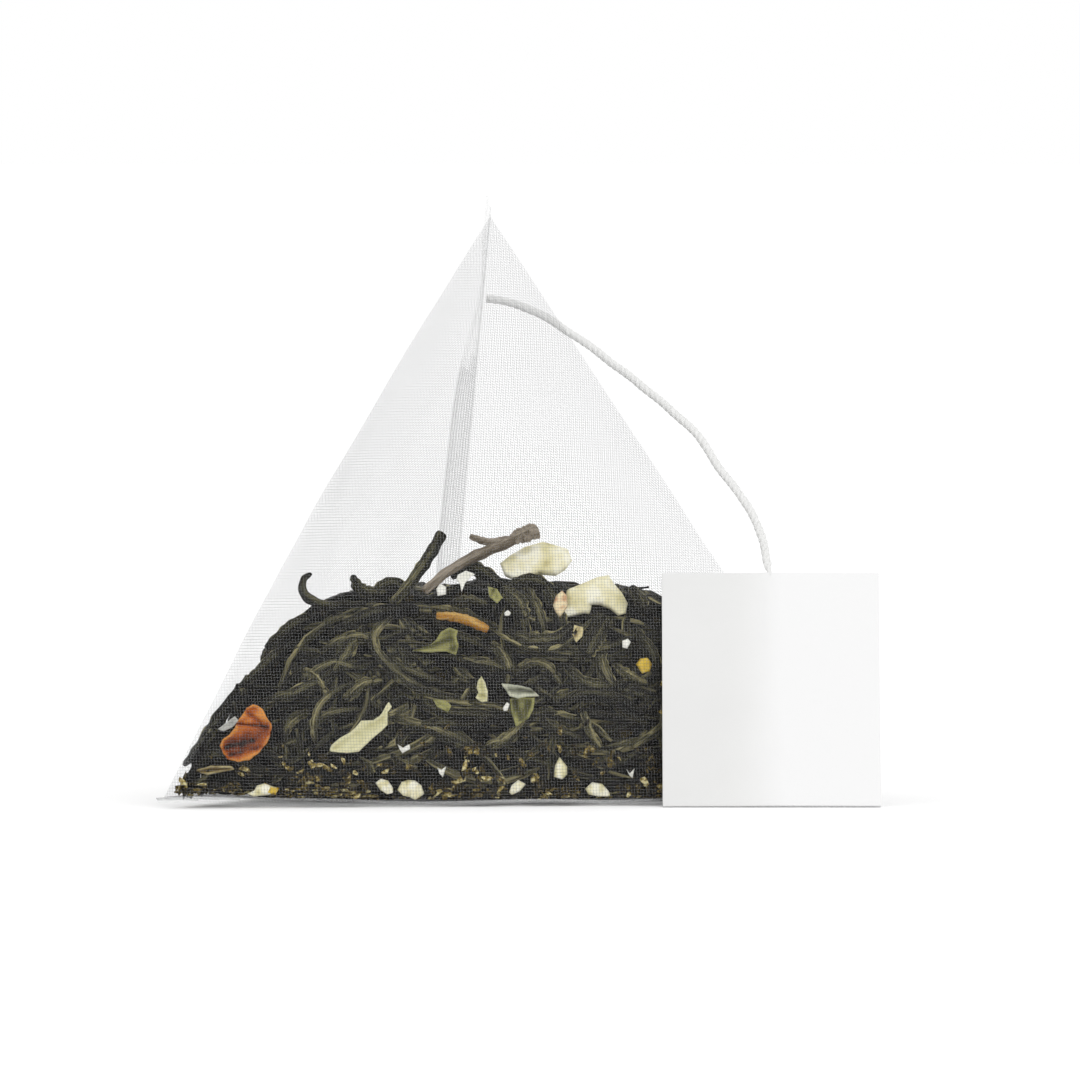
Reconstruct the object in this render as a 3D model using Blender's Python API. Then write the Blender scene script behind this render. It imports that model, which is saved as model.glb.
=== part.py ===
"""A pyramid tea bag: one sheet of mesh folded into a tetrahedron, loose leaf tea, a string and a paper tag.

Lengths are metres and angles are radians. The table is z = 0, the bag rests on its base face, and the
front face looks along -Y, turned a little to the right. The origin lies on the table under the apex.
"""
import math
import random

import bmesh
import bpy
from mathutils import Matrix, Vector, noise

MM = 0.001

# Mesh bag
TUBE_WIDTH = 0.0645
BAG_TURN = math.radians(7.4)
BAG_WALL = 0.0003
CORNER_LIFT = 0.0010
FACE_BULGE = {"A": 0.0010, "B": 0.0010, "C": 0.0013, "D": 0.0016}
EDGE_BULGE = {"AB": 0.0009, "AC": 0.0006, "AD": 0.0011, "BC": 0.0006, "BD": 0.0002, "CD": 0.0004}
SKIN_STEPS = 8

# Seal fins, which stand out from the front base edge and from the rear edge
FIN_WIDTH = 0.0022
FIN_THICKNESS = 0.0004
FIN_ROOT = 0.00035
FIN_END_REACH = 0.0008
FIN_DROOP = 0.0003
FIN_STEPS = 16
REAR_FIN_LEAN = 1.15
REAR_LEAN_START = 0.06
REAR_LEAN_SPAN = 0.80
REAR_LEAN_POWER = 1.3

# Gaps of the weave, in rows that run along each face's seal
GAP_SIZE = 0.0052
GAP_PITCH = 0.0066
GAP_FIRST_ROW = 0.0055
GAP_EDGE_MARGIN = 0.0026
GAP_CUT_DEPTH = 0.0030
REST_PATCH = 0.0045

# Tea
CLEARANCE = 0.0003
FRONT_SLOT = 0.0026
BED_SIDE_GAP = 0.0010
BED_STEPS = 12
BED_RIPPLE = 0.0005
HEAP_HEIGHT = 0.0190
HEAP_LEVEL_REACH = 0.0120
HEAP_FALL_REACH = 0.0105
HEAP_FALL = 0.0060
HEAP_LUMP = 0.0011
HEAP_LUMP_SIZE = 0.0045
HEAP_CELLS = 40
HEAP_FALL_POWER = 1.6
HEAP_BLOCK_SHARE = 0.62
HEAP_BLOCK_FOOT = -0.0020
LEAF_THICKNESS = 0.0007
LAYER_STEP = 0.0010
CHUNK_THICKNESS = 0.0020
LEAF_SIDES = 6
LEAF_SWELL_POWER = 0.7
LEAF_END_THICKNESS = 0.6
PLATE_EASE = 0.78

# String and tag
STRING_DIAMETER = 0.00075
STRING_STEP = 0.0018
TAG_WIDTH = 0.0198
TAG_HEIGHT = 0.0227
TAG_THICKNESS = 0.0005
TAG_LEAN = math.radians(23.5)
TAG_OVERHANG = 0.0011

# Places on the front face are across from the apex and up from the table, in hundredths of the tube's width
PLACE_UNIT = TUBE_WIDTH / 100

PYRAMID_HEIGHT = TUBE_WIDTH * math.sqrt(2 / 3)
FACE_HEIGHT = TUBE_WIDTH * math.sqrt(3) / 2
NO_INSET = (0.0, 0.0, 0.0, 0.0)
CORNER_NAMES = "ABCD"


def corner_places():
    """Front left, front right, rear and apex corners of the folded pyramid."""
    foot = TUBE_WIDTH / (2 * math.sqrt(3))
    flat = [
        Vector((-TUBE_WIDTH / 2, -foot, 0)),
        Vector((TUBE_WIDTH / 2, -foot, 0)),
        Vector((0, 2 * foot, 0)),
        Vector((0, 0, PYRAMID_HEIGHT)),
    ]
    turn = Matrix.Rotation(BAG_TURN, 3, "Z")
    lift = Vector((0, 0, CORNER_LIFT))
    return [turn @ corner + lift for corner in flat]


CORNERS = corner_places()
CENTRE = sum(CORNERS, Vector()) / 4


def material(name, colour, roughness):
    made = bpy.data.materials.new(name)
    made.use_nodes = True
    shader = made.node_tree.nodes["Principled BSDF"]
    shader.inputs["Base Color"].default_value = (*colour, 1)
    shader.inputs["Roughness"].default_value = roughness
    shader.inputs["Metallic"].default_value = 0.0
    return made


def keep_mesh(name, bm, finish, smooth=False):
    """Turns a bmesh into a named object at the origin."""
    bmesh.ops.recalc_face_normals(bm, faces=bm.faces)
    mesh = bpy.data.meshes.new(name)
    bm.to_mesh(mesh)
    bm.free()
    mesh.materials.append(finish)
    made = bpy.data.objects.new(name, mesh)
    bpy.context.scene.collection.objects.link(made)
    if smooth:
        mesh.shade_smooth()
        mesh.set_sharp_from_angle(angle=math.radians(40))
    return made


def add_boolean(carrier, operand, operation):
    """Joins or cuts with a hidden operand."""
    operand.hide_render = True
    operand.display_type = "WIRE"
    change = carrier.modifiers.new(operand.name, "BOOLEAN")
    change.operation = operation
    change.solver = "EXACT"
    change.object = operand


def skin_bulge(weights):
    """How far the cloth swells from the flat fold, for a point given by its four corner weights."""
    swell = Vector()
    for pair, amount in EDGE_BULGE.items():
        first = CORNER_NAMES.index(pair[0])
        second = CORNER_NAMES.index(pair[1])
        outward = ((CORNERS[first] + CORNERS[second]) / 2 - CENTRE).normalized()
        swell += outward * amount * 4 * weights[first] * weights[second]
    for name, amount in FACE_BULGE.items():
        hidden = CORNER_NAMES.index(name)
        others = [i for i in range(4) if i != hidden]
        outward = (CENTRE - CORNERS[hidden]).normalized()
        share = 27 * math.prod(weights[i] for i in others)
        swell += outward * amount * share
    return swell


def skin_point(weights, insets=NO_INSET, floor=0.0):
    """A point of the swollen skin, drawn in by an inset at the face opposite each corner."""
    shares = [inset / PYRAMID_HEIGHT for inset in insets]
    left = 1 - sum(shares)
    place = sum(((share + weight * left) * corner
                 for share, weight, corner in zip(shares, weights, CORNERS)), Vector())
    place += skin_bulge(weights)
    place.z = max(place.z, floor)
    return place


def skin_surface(insets, floor, steps, ripple=0.0):
    """The four faces of the skin as one closed surface of small triangles."""
    bm = bmesh.new()
    spots = {}

    def spot(counts):
        if counts not in spots:
            place = skin_point([count / steps for count in counts], insets, floor)
            if ripple and place.z > floor:
                depth = ripple * (0.5 + 0.5 * noise.noise(place / HEAP_LUMP_SIZE))
                place += (CENTRE - place).normalized() * depth
            spots[counts] = bm.verts.new(place)
        return spots[counts]

    for hidden in range(4):
        others = [i for i in range(4) if i != hidden]

        def at(first, second):
            counts = [0, 0, 0, 0]
            counts[others[0]] = first
            counts[others[1]] = second
            counts[others[2]] = steps - first - second
            return spot(tuple(counts))

        for i in range(steps):
            for j in range(steps - i):
                bm.faces.new((at(i, j), at(i + 1, j), at(i, j + 1)))
                if i + j < steps - 1:
                    bm.faces.new((at(i + 1, j), at(i + 1, j + 1), at(i, j + 1)))
    return bm


def add_box(bm, centre, along, across, normal, size, depth):
    """A square block whose faces follow three directions."""
    frame = Matrix((along, across, normal)).transposed().to_4x4()
    frame.translation = centre
    scale = Matrix.Diagonal((size, size, depth, 1))
    bmesh.ops.create_cube(bm, size=1, matrix=frame @ scale)


def gap_offsets(height):
    """Places across a row of gaps that stay inside the face's slanting edges."""
    half = TUBE_WIDTH / 2 * (1 - (height + GAP_SIZE / 2) / FACE_HEIGHT)
    reach = half - GAP_EDGE_MARGIN - GAP_SIZE / 2
    if reach < 0:
        return []
    count = int(reach / GAP_PITCH)
    return [k * GAP_PITCH for k in range(-count, count + 1)]


def weave_gaps():
    """One cutter with a block for each gap: rows run along the face's own seal edge."""
    bm = bmesh.new()
    for start, end, far in ((0, 1, 3), (0, 1, 2), (2, 3, 0), (2, 3, 1)):
        middle = (CORNERS[start] + CORNERS[end]) / 2
        along = (CORNERS[end] - CORNERS[start]).normalized()
        across = (CORNERS[far] - middle).normalized()
        normal = along.cross(across)
        height = GAP_FIRST_ROW
        while gap_offsets(height):
            for offset in gap_offsets(height):
                weights = [0.0, 0.0, 0.0, 0.0]
                weights[far] = height / FACE_HEIGHT
                weights[start] = (1 - weights[far]) / 2 - offset / TUBE_WIDTH
                weights[end] = (1 - weights[far]) / 2 + offset / TUBE_WIDTH
                centre = skin_point(weights)
                is_base = 3 not in (start, end, far)
                if is_base and Vector((centre.x, centre.y)).length < REST_PATCH:
                    continue
                add_box(bm, centre, along, across, normal, GAP_SIZE, GAP_CUT_DEPTH)
            height += GAP_PITCH
    return bm


def rear_lean(along):
    """How far the rear fin leans to the left, between the rear corner and the string's bond."""
    share = (along - REAR_LEAN_START) / REAR_LEAN_SPAN
    return REAR_FIN_LEAN * math.sin(math.pi * min(max(share, 0.0), 1.0)) ** REAR_LEAN_POWER


def seal_fin(start, end, outward, droop, lean=None):
    """The welded strip that stands out from a seal edge, bent over at the edge where it leans."""
    bm = bmesh.new()
    along = (CORNERS[end] - CORNERS[start]).normalized()
    side = along.cross(outward).normalized()
    rows = []
    for i in range(FIN_STEPS + 1):
        weights = [0.0, 0.0, 0.0, 0.0]
        weights[end] = i / FIN_STEPS
        weights[start] = 1 - weights[end]
        edge = skin_point(weights)
        if i in (0, FIN_STEPS):
            edge += along * math.copysign(FIN_END_REACH, weights[end] - weights[start])
        angle = lean(weights[end]) if lean else 0.0
        tip = edge + (outward * math.cos(angle) + side * math.sin(angle)) * FIN_WIDTH
        tip.z -= droop
        root_half = side * FIN_THICKNESS / 2
        tip_half = (side * math.cos(angle) - outward * math.sin(angle)) * FIN_THICKNESS / 2
        bend_half = (root_half + tip_half) / (1 + math.cos(angle))
        root = edge - outward * FIN_ROOT
        row = [root + root_half, edge + bend_half, tip + tip_half,
               tip - tip_half, edge - bend_half, root - root_half]
        for place in row:
            place.z = max(place.z, 0.0)
        rows.append([bm.verts.new(place) for place in row])
    count = len(rows[0])
    for first, second in zip(rows, rows[1:]):
        for k in range(count):
            bm.faces.new((first[k], first[k - 1], second[k - 1], second[k]))
    bm.faces.new(rows[0])
    bm.faces.new(rows[-1][::-1])
    return bm


def front_fin_direction():
    """Level, and square to the front base edge."""
    middle = (CORNERS[0] + CORNERS[1]) / 2
    return Vector((middle.x, middle.y, 0)).normalized()


def rear_fin_direction():
    """Square to the rear edge, away from the bag's middle."""
    return ((CORNERS[2] + CORNERS[3]) / 2 - CENTRE).normalized()


def make_mesh_bag():
    cloth = material("sheer_mesh", (0.86, 0.87, 0.87), 0.5)
    bag = keep_mesh("mesh_bag", skin_surface(NO_INSET, 0.0, SKIN_STEPS), cloth)
    wall = bag.modifiers.new("wall", "SOLIDIFY")
    wall.thickness = BAG_WALL
    wall.offset = -1
    wall.use_even_offset = True
    front_fin = keep_mesh("front_fin_join", seal_fin(0, 1, front_fin_direction(), FIN_DROOP), cloth)
    rear_fin = keep_mesh("rear_fin_join", seal_fin(2, 3, rear_fin_direction(), 0.0, rear_lean), cloth)
    gaps = keep_mesh("weave_gap_cut", weave_gaps(), cloth)
    add_boolean(bag, gaps, "DIFFERENCE")
    add_boolean(bag, front_fin, "UNION")
    add_boolean(bag, rear_fin, "UNION")


def heap_height(x, y):
    """Top of the tea, level in the middle and falling towards the three base corners."""
    drop = 0.0
    for reach in (abs(x), y):
        beyond = max(0.0, reach - HEAP_LEVEL_REACH) / HEAP_FALL_REACH
        drop += HEAP_FALL * beyond ** HEAP_FALL_POWER
    lump = HEAP_LUMP * noise.noise(Vector((x, y, 0)) / HEAP_LUMP_SIZE)
    return HEAP_HEIGHT - drop + lump


def heap_block():
    """A block whose top is the heap's lumpy surface, wider than the bag."""
    bm = bmesh.new()
    half = TUBE_WIDTH * HEAP_BLOCK_SHARE
    top = []
    for i in range(HEAP_CELLS + 1):
        for j in range(HEAP_CELLS + 1):
            x = half * (2 * i / HEAP_CELLS - 1)
            y = half * (2 * j / HEAP_CELLS - 1)
            top.append(bm.verts.new((x, y, max(heap_height(x, y), CORNER_LIFT))))
    row = HEAP_CELLS + 1
    for i in range(HEAP_CELLS):
        for j in range(HEAP_CELLS):
            corner = i * row + j
            bm.faces.new((top[corner], top[corner + row], top[corner + row + 1], top[corner + 1]))
    rim = [top[i * row] for i in range(row)]
    rim += [top[HEAP_CELLS * row + j] for j in range(1, row)]
    rim += [top[i * row + HEAP_CELLS] for i in range(HEAP_CELLS - 1, -1, -1)]
    rim += [top[j] for j in range(HEAP_CELLS - 1, 0, -1)]
    foot = [bm.verts.new((v.co.x, v.co.y, HEAP_BLOCK_FOOT)) for v in rim]
    for k in range(len(rim)):
        bm.faces.new((rim[k - 1], rim[k], foot[k], foot[k - 1]))
    bm.faces.new(foot)
    return bm


def make_tea_bed():
    tea = material("tea_bed", (0.045, 0.048, 0.036), 0.8)
    seat = BAG_WALL + CLEARANCE
    insets = (BED_SIDE_GAP, BED_SIDE_GAP, FRONT_SLOT, seat)
    bed = keep_mesh("tea_bed", skin_surface(insets, seat, BED_STEPS, BED_RIPPLE), tea)
    block = keep_mesh("heap_top_cut", heap_block(), tea)
    add_boolean(bed, block, "INTERSECT")


def front_place(across, up, depth):
    """The point at a depth behind the front face that shows at this place, seen from the front."""
    wanted_x = across * PLACE_UNIT
    wanted_z = up * PLACE_UNIT
    insets = (0.0, 0.0, depth, 0.0)
    aim_x = wanted_x
    aim_z = wanted_z
    place = Vector()
    for _ in range(4):
        far = (aim_z - CORNER_LIFT) / PYRAMID_HEIGHT
        left_x = CORNERS[0].x * (1 - far)
        right_x = CORNERS[1].x * (1 - far)
        share = (aim_x - left_x) / (right_x - left_x)
        weights = ((1 - far) * (1 - share), (1 - far) * share, 0.0, far)
        place = skin_point(weights, insets)
        aim_x += wanted_x - place.x
        aim_z += wanted_z - place.z
    return place


def front_normal():
    return (CENTRE - CORNERS[2]).normalized()


def layer_depth(layer):
    """Middle depth of a leaf layer behind the front face: 0 lies on the mesh and 1 is behind it."""
    return BAG_WALL + CLEARANCE + LEAF_THICKNESS / 2 + layer * LAYER_STEP


def smooth_route(points, count):
    """Evenly numbered points on a smooth curve through chosen ones."""
    ends = [points[0] * 2 - points[1], *points, points[-1] * 2 - points[-2]]
    spans = len(points) - 1
    made = []
    for k in range(count):
        at = spans * k / (count - 1)
        span = min(int(at), spans - 1)
        t = at - span
        a, b, c, d = ends[span:span + 4]
        made.append(0.5 * (2 * b + (c - a) * t + (2 * a - 5 * b + 4 * c - d) * t * t
                           + (3 * b - a - 3 * c + d) * t ** 3))
    return made


def leaf_surface(places, layer, width, blunt=0.25, stations=8):
    """A rolled leaf along a route on the front face, pointed unless it is blunt."""
    depth = layer_depth(layer)
    route = [front_place(across, up, depth) for across, up in places]
    centres = smooth_route(route, stations)
    normal = front_normal()
    bm = bmesh.new()
    rings = []
    for k, centre in enumerate(centres):
        before = centres[max(k - 1, 0)]
        after = centres[min(k + 1, stations - 1)]
        side = (after - before).normalized().cross(normal).normalized()
        swell = blunt + (1 - blunt) * math.sin(math.pi * k / (stations - 1)) ** LEAF_SWELL_POWER
        ring = []
        for s in range(LEAF_SIDES):
            angle = 2 * math.pi * s / LEAF_SIDES
            reach = side * math.cos(angle) * width / 2 * swell
            rise = normal * math.sin(angle) * LEAF_THICKNESS / 2 * max(swell, LEAF_END_THICKNESS)
            ring.append(bm.verts.new(centre + reach + rise))
        rings.append(ring)
    for first, second in zip(rings, rings[1:]):
        for s in range(LEAF_SIDES):
            bm.faces.new((first[s - 1], first[s], second[s], second[s - 1]))
    bm.faces.new(rings[0])
    bm.faces.new(rings[-1][::-1])
    return bm


def plate_surface(outline, layer, thickness):
    """A petal, chip or chunk with a drawn outline and eased edges, lying along the front face."""
    near = layer_depth(layer) - LEAF_THICKNESS / 2
    middle_across = sum(across for across, up in outline) / len(outline)
    middle_up = sum(up for across, up in outline) / len(outline)
    bm = bmesh.new()
    rings = []
    for depth_share, spread in ((0.0, PLATE_EASE), (0.5, 1.0), (1.0, PLATE_EASE)):
        ring = []
        for across, up in outline:
            seen_across = middle_across + (across - middle_across) * spread
            seen_up = middle_up + (up - middle_up) * spread
            place = front_place(seen_across, seen_up, near + thickness * depth_share)
            ring.append(bm.verts.new(place))
        rings.append(ring)
    for first, second in zip(rings, rings[1:]):
        for k in range(len(outline)):
            bm.faces.new((first[k - 1], first[k], second[k], second[k - 1]))
    for ring, turn in ((rings[0], 1), (rings[-1], -1)):
        middle = sum((v.co for v in ring), Vector()) / len(ring)
        hub = bm.verts.new(middle)
        for k in range(len(ring)):
            bm.faces.new((ring[k - 1], ring[k], hub)[::turn])
    return bm


def chip_outline(across, up, width, height, seed, corners=7):
    """An uneven broken outline, sized in metres around a place on the front face."""
    draw = random.Random(seed)
    points = []
    for k in range(corners):
        angle = 2 * math.pi * (k + draw.uniform(-0.25, 0.25)) / corners
        reach = draw.uniform(0.8, 1.0)
        points.append((across + math.cos(angle) * reach * width / 2 / PLACE_UNIT,
                       up + math.sin(angle) * reach * height / 2 / PLACE_UNIT))
    return points


DARK_LEAVES = {
    # name: places along it, layer, width, bluntness of its ends
    "hooked_leaf": ([(-25.3, 32.7), (-26.6, 31.4), (-26.0, 29.6), (-23.6, 28.1), (-20.4, 28.2),
                     (-17.4, 28.6)], 0, 0.0011, 0.5),
    "spiky_leaf": ([(-19.5, 32.3), (-18.4, 30.4), (-16.4, 29.7), (-14.4, 29.9)], 1, 0.0012, 0.2),
    "straight_stem": ([(-13.9, 28.7), (-12.0, 31.0), (-9.3, 34.4), (-6.9, 38.0)], 0, 0.0011, 0.8),
    "dark_spike": ([(19.8, 30.6), (20.9, 29.0), (22.2, 27.0)], 0, 0.0013, 0.25),
    "broad_leaf": ([(-17.5, 25.3), (-19.5, 22.8), (-21.6, 19.7), (-23.6, 16.6)], 1, 0.0015, 0.4),
    "curved_leaf": ([(-13.9, 26.7), (-16.2, 24.7), (-16.3, 22.2), (-13.9, 19.1), (-11.0, 16.9),
                     (-7.6, 15.7), (-4.6, 15.2)], 0, 0.0011, 0.35),
    "inner_leaf": ([(-15.0, 21.4), (-12.2, 19.2), (-8.5, 17.6), (-4.4, 16.8)], 1, 0.0010, 0.35),
    "middle_leaf": ([(-11.5, 21.8), (-8.0, 21.2), (-4.2, 20.2), (-0.8, 18.4), (0.8, 15.8)], 1, 0.0010, 0.35),
    "arc_leaf": ([(-24.2, 8.8), (-24.7, 11.2), (-23.9, 13.9), (-21.8, 16.0), (-18.9, 17.3)], 0, 0.0009, 0.35),
    "bell_leaf": ([(-25.2, 13.4), (-27.2, 12.6), (-28.6, 11.3), (-28.8, 9.2)], 1, 0.0010, 0.35),
    "wavy_leaf": ([(2.2, 24.4), (4.4, 23.3), (7.2, 22.9), (9.9, 23.5), (12.4, 25.4)], 0, 0.0017, 0.3),
    "ridged_leaf": ([(1.4, 30.2), (3.7, 28.7), (5.1, 26.2)], 0, 0.0015, 0.5),
    "leaf_stub": ([(16.4, 26.5), (15.0, 23.9), (13.6, 21.2)], 0, 0.0018, 0.8),
    "right_leaf": ([(17.3, 19.9), (19.5, 18.1), (22.4, 16.8)], 1, 0.0011, 0.35),
    "arch_leaf": ([(3.7, 18.6), (5.9, 19.8), (8.2, 19.1), (10.0, 16.8)], 1, 0.0011, 0.35),
    "thin_stem": ([(13.1, 13.1), (14.1, 10.3), (15.6, 8.1)], 0, 0.0008, 0.6),
    "olive_leaf": ([(-1.7, 7.9), (2.3, 9.3), (4.8, 11.7), (6.1, 14.4)], 1, 0.0010, 0.35),
    "low_leaf": ([(-14.0, 7.2), (-12.4, 5.9), (-10.2, 5.2)], 1, 0.0009, 0.35),
    "curl_stem": ([(-18.6, 6.6), (-17.2, 6.0), (-16.4, 4.6)], 1, 0.0007, 0.6),
    "long_leaf": ([(-12.2, 10.3), (-8.0, 11.4), (-3.0, 11.2), (1.2, 12.2)], 1, 0.0012, 0.35),
    "left_leaf": ([(-35.0, 16.6), (-32.8, 18.6), (-30.0, 21.2), (-27.2, 23.2)], 0, 0.0011, 0.35),
    "low_right_leaf": ([(9.9, 14.0), (13.5, 15.6), (18.0, 14.6), (22.0, 12.6)], 1, 0.0013, 0.35),
    "top_leaf": ([(-5.7, 28.3), (-2.8, 28.7), (-0.2, 28.1)], 0, 0.0011, 0.35),
}

FORK_MAIN = [(-9.6, 30.4), (-7.9, 32.5), (-4.4, 34.4), (-0.7, 36.2), (3.1, 37.4), (5.9, 38.4)]
FORK_PRONG = [(-0.8, 36.0), (-1.8, 37.1), (-3.0, 38.0)]
FORK_WIDTH = 0.0011
PRONG_WIDTH = 0.0007
ORANGE_STEM = [(-7.6, 26.6), (-4.0, 26.3), (-2.0, 25.4), (-0.2, 24.7)]
ORANGE_STEM_WIDTH = 0.0009

ORANGE_PETAL = [(-37.6, 9.4), (-36.4, 12.2), (-34.0, 14.2), (-31.6, 13.4), (-30.8, 10.6), (-31.8, 7.8),
                (-34.4, 6.8), (-36.8, 7.4)]
CREAM_PETAL = [(-22.2, 8.2), (-20.4, 10.2), (-17.6, 12.4), (-16.0, 12.9), (-14.2, 14.7), (-13.9, 14.0),
               (-14.9, 12.2), (-14.6, 10.4), (-16.4, 8.8), (-18.4, 7.8)]
TAN_LEAF = [(-10.8, 22.2), (-8.6, 23.6), (-6.0, 24.8), (-4.8, 23.6), (-5.8, 22.0), (-8.6, 21.9)]
GREY_PETAL = [(2.4, 17.1), (4.4, 17.3), (6.8, 16.3), (5.8, 15.2), (3.6, 15.1)]
CREAM_SLIVER = [(-1.5, 18.2), (-0.8, 17.4), (-0.3, 15.6), (-0.8, 14.4), (-1.8, 14.7), (-1.9, 16.6)]
WHITE_WEDGE = [(-4.8, 32.0), (-3.8, 32.9), (-2.4, 32.6), (-3.4, 31.4), (-3.9, 30.3)]

CHIPS = {
    # name: across, up, width, height, layer
    "cream_chip_left": (-32.0, 3.6, 0.0027, 0.0015, 0),
    "cream_chip_small": (-14.7, 3.6, 0.0016, 0.0013, 0),
    "cream_chip_middle": (-11.1, 3.6, 0.0025, 0.0017, 0),
    "cream_chip_low": (3.9, 3.5, 0.0016, 0.0012, 0),
    "cream_chip_tall": (9.8, 5.4, 0.0012, 0.0019, 0),
    "cream_chip_right": (15.3, 3.5, 0.0022, 0.0012, 0),
    "yellow_bud": (21.6, 20.0, 0.0014, 0.0014, 0),
}
CHIP_THICKNESS = 0.0007
CHUNKS = {
    # name: across, up, width, height, layer, thickness
    "cream_chunk_left": (6.6, 34.2, 0.0062, 0.0036, 1, CHUNK_THICKNESS),
    "cream_chunk_right": (15.7, 29.0, 0.0050, 0.0038, 1, LEAF_THICKNESS),
}


def make_leaves():
    dark = material("dark_leaf", (0.035, 0.040, 0.030), 0.6)
    for name, (places, layer, width, blunt) in DARK_LEAVES.items():
        keep_mesh(name, leaf_surface(places, layer, width, blunt), dark, smooth=True)
    twig = material("twig", (0.060, 0.052, 0.040), 0.7)
    fork = keep_mesh("forked_stem", leaf_surface(FORK_MAIN, 0, FORK_WIDTH, 0.8), twig, smooth=True)
    prong = keep_mesh("prong_join", leaf_surface(FORK_PRONG, 0, PRONG_WIDTH, 0.8, 4), twig)
    add_boolean(fork, prong, "UNION")
    orange = material("orange_stem", (0.52, 0.25, 0.05), 0.6)
    keep_mesh("orange_stem", leaf_surface(ORANGE_STEM, 0, ORANGE_STEM_WIDTH, 0.6), orange, smooth=True)


def make_petals():
    plates = {
        "orange_petal": (ORANGE_PETAL, (0.60, 0.22, 0.03), 0),
        "cream_petal": (CREAM_PETAL, (0.70, 0.66, 0.42), 0),
        "tan_leaf": (TAN_LEAF, (0.22, 0.15, 0.05), 0),
        "grey_petal": (GREY_PETAL, (0.33, 0.34, 0.27), 0),
        "cream_sliver": (CREAM_SLIVER, (0.76, 0.74, 0.58), 0),
        "white_wedge": (WHITE_WEDGE, (0.80, 0.79, 0.70), 0),
    }
    for name, (outline, colour, layer) in plates.items():
        keep_mesh(name, plate_surface(outline, layer, CHIP_THICKNESS), material(name, colour, 0.6))


def make_chips():
    cream = material("cream_fruit", (0.78, 0.74, 0.52), 0.6)
    yellow = material("yellow_bud", (0.42, 0.30, 0.04), 0.7)
    for seed, (name, (across, up, width, height, layer)) in enumerate(CHIPS.items()):
        outline = chip_outline(across, up, width, height, seed)
        finish = yellow if name == "yellow_bud" else cream
        keep_mesh(name, plate_surface(outline, layer, CHIP_THICKNESS), finish)
    for seed, (name, (across, up, width, height, layer, thickness)) in enumerate(CHUNKS.items()):
        outline = chip_outline(across, up, width, height, seed + len(CHIPS), 9)
        keep_mesh(name, plate_surface(outline, layer, thickness), cream)


# The string's own points, in millimetres: out of the rear seal, round the right side, down to the tag
STRING_ROUTE = [
    (-0.4, 7.2, 45.8), (1.4, 7.3, 45.5), (4.2, 6.6, 44.5), (7.5, 5.0, 42.6), (10.6, 3.0, 40.3),
    (14.6, 0.1, 37.3), (18.6, -3.2, 33.8), (21.4, -6.0, 29.9), (23.6, -8.4, 26.9), (24.9, -10.0, 24.0),
    (25.4, -11.1, 21.4),
]


def make_string():
    points = [Vector(place) * MM for place in STRING_ROUTE]
    length = sum((b - a).length for a, b in zip(points, points[1:]))
    smooth = smooth_route(points, round(length / STRING_STEP) + 1)
    curve = bpy.data.curves.new("string", "CURVE")
    curve.dimensions = "3D"
    curve.bevel_depth = STRING_DIAMETER / 2
    curve.bevel_resolution = 2
    curve.use_fill_caps = True
    spline = curve.splines.new("POLY")
    spline.points.add(len(smooth) - 1)
    for point, place in zip(spline.points, smooth):
        point.co = (*place, 1)
    curve.materials.append(material("cotton_string", (0.80, 0.80, 0.78), 0.9))
    bpy.context.scene.collection.objects.link(bpy.data.objects.new("string", curve))


def cloth_behind_tag(left, right):
    """Points of the front face and of the front fin's outer edge that lie behind the tag."""
    fin = front_fin_direction() * FIN_WIDTH
    steps = SKIN_STEPS * 4
    for i in range(steps + 1):
        for j in range(steps + 1 - i):
            place = skin_point((i / steps, j / steps, 0.0, (steps - i - j) / steps))
            if left <= place.x <= right and place.z < TAG_HEIGHT:
                yield place
            if i + j == steps and left <= place.x + fin.x <= right:
                yield place + fin


def make_tag():
    """Two glued plies of card, standing on the bottom edge and leaning back on the bag."""
    right = CORNERS[1].x + TAG_OVERHANG
    left = right - TAG_WIDTH
    back = Vector((0, math.cos(TAG_LEAN), -math.sin(TAG_LEAN)))
    nearest = min(place.dot(back) for place in cloth_behind_tag(left, right))
    lift = TAG_THICKNESS * math.sin(TAG_LEAN)
    foot_y = (nearest - CLEARANCE - TAG_THICKNESS + lift * math.sin(TAG_LEAN)) / math.cos(TAG_LEAN)
    bm = bmesh.new()
    bmesh.ops.create_cube(bm, size=1)
    scale = Matrix.Diagonal((TAG_WIDTH, TAG_THICKNESS, TAG_HEIGHT, 1))
    stand = Matrix.Translation((0, TAG_THICKNESS / 2, TAG_HEIGHT / 2))
    lean = Matrix.Rotation(-TAG_LEAN, 4, "X")
    place = Matrix.Translation(((left + right) / 2, foot_y, lift))
    bm.transform(place @ lean @ stand @ scale)
    keep_mesh("tag", bm, material("white_card", (0.88, 0.88, 0.87), 0.8))


def clear_scene():
    for old in list(bpy.data.objects):
        bpy.data.objects.remove(old, do_unlink=True)


def main():
    clear_scene()
    make_mesh_bag()
    make_tea_bed()
    make_leaves()
    make_petals()
    make_chips()
    make_string()
    make_tag()


main()
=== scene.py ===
"""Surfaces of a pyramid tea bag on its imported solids: woven mesh, loose tea, string, tag and studio.

Lengths are metres and angles are radians. The front face looks along -Y and the table is z = 0.
"""
import math
import random

import bmesh
import bpy
import numpy as np
from bpy.props import FloatProperty, FloatVectorProperty, IntProperty, PointerProperty
from mathutils import Matrix, Vector, noise


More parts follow.
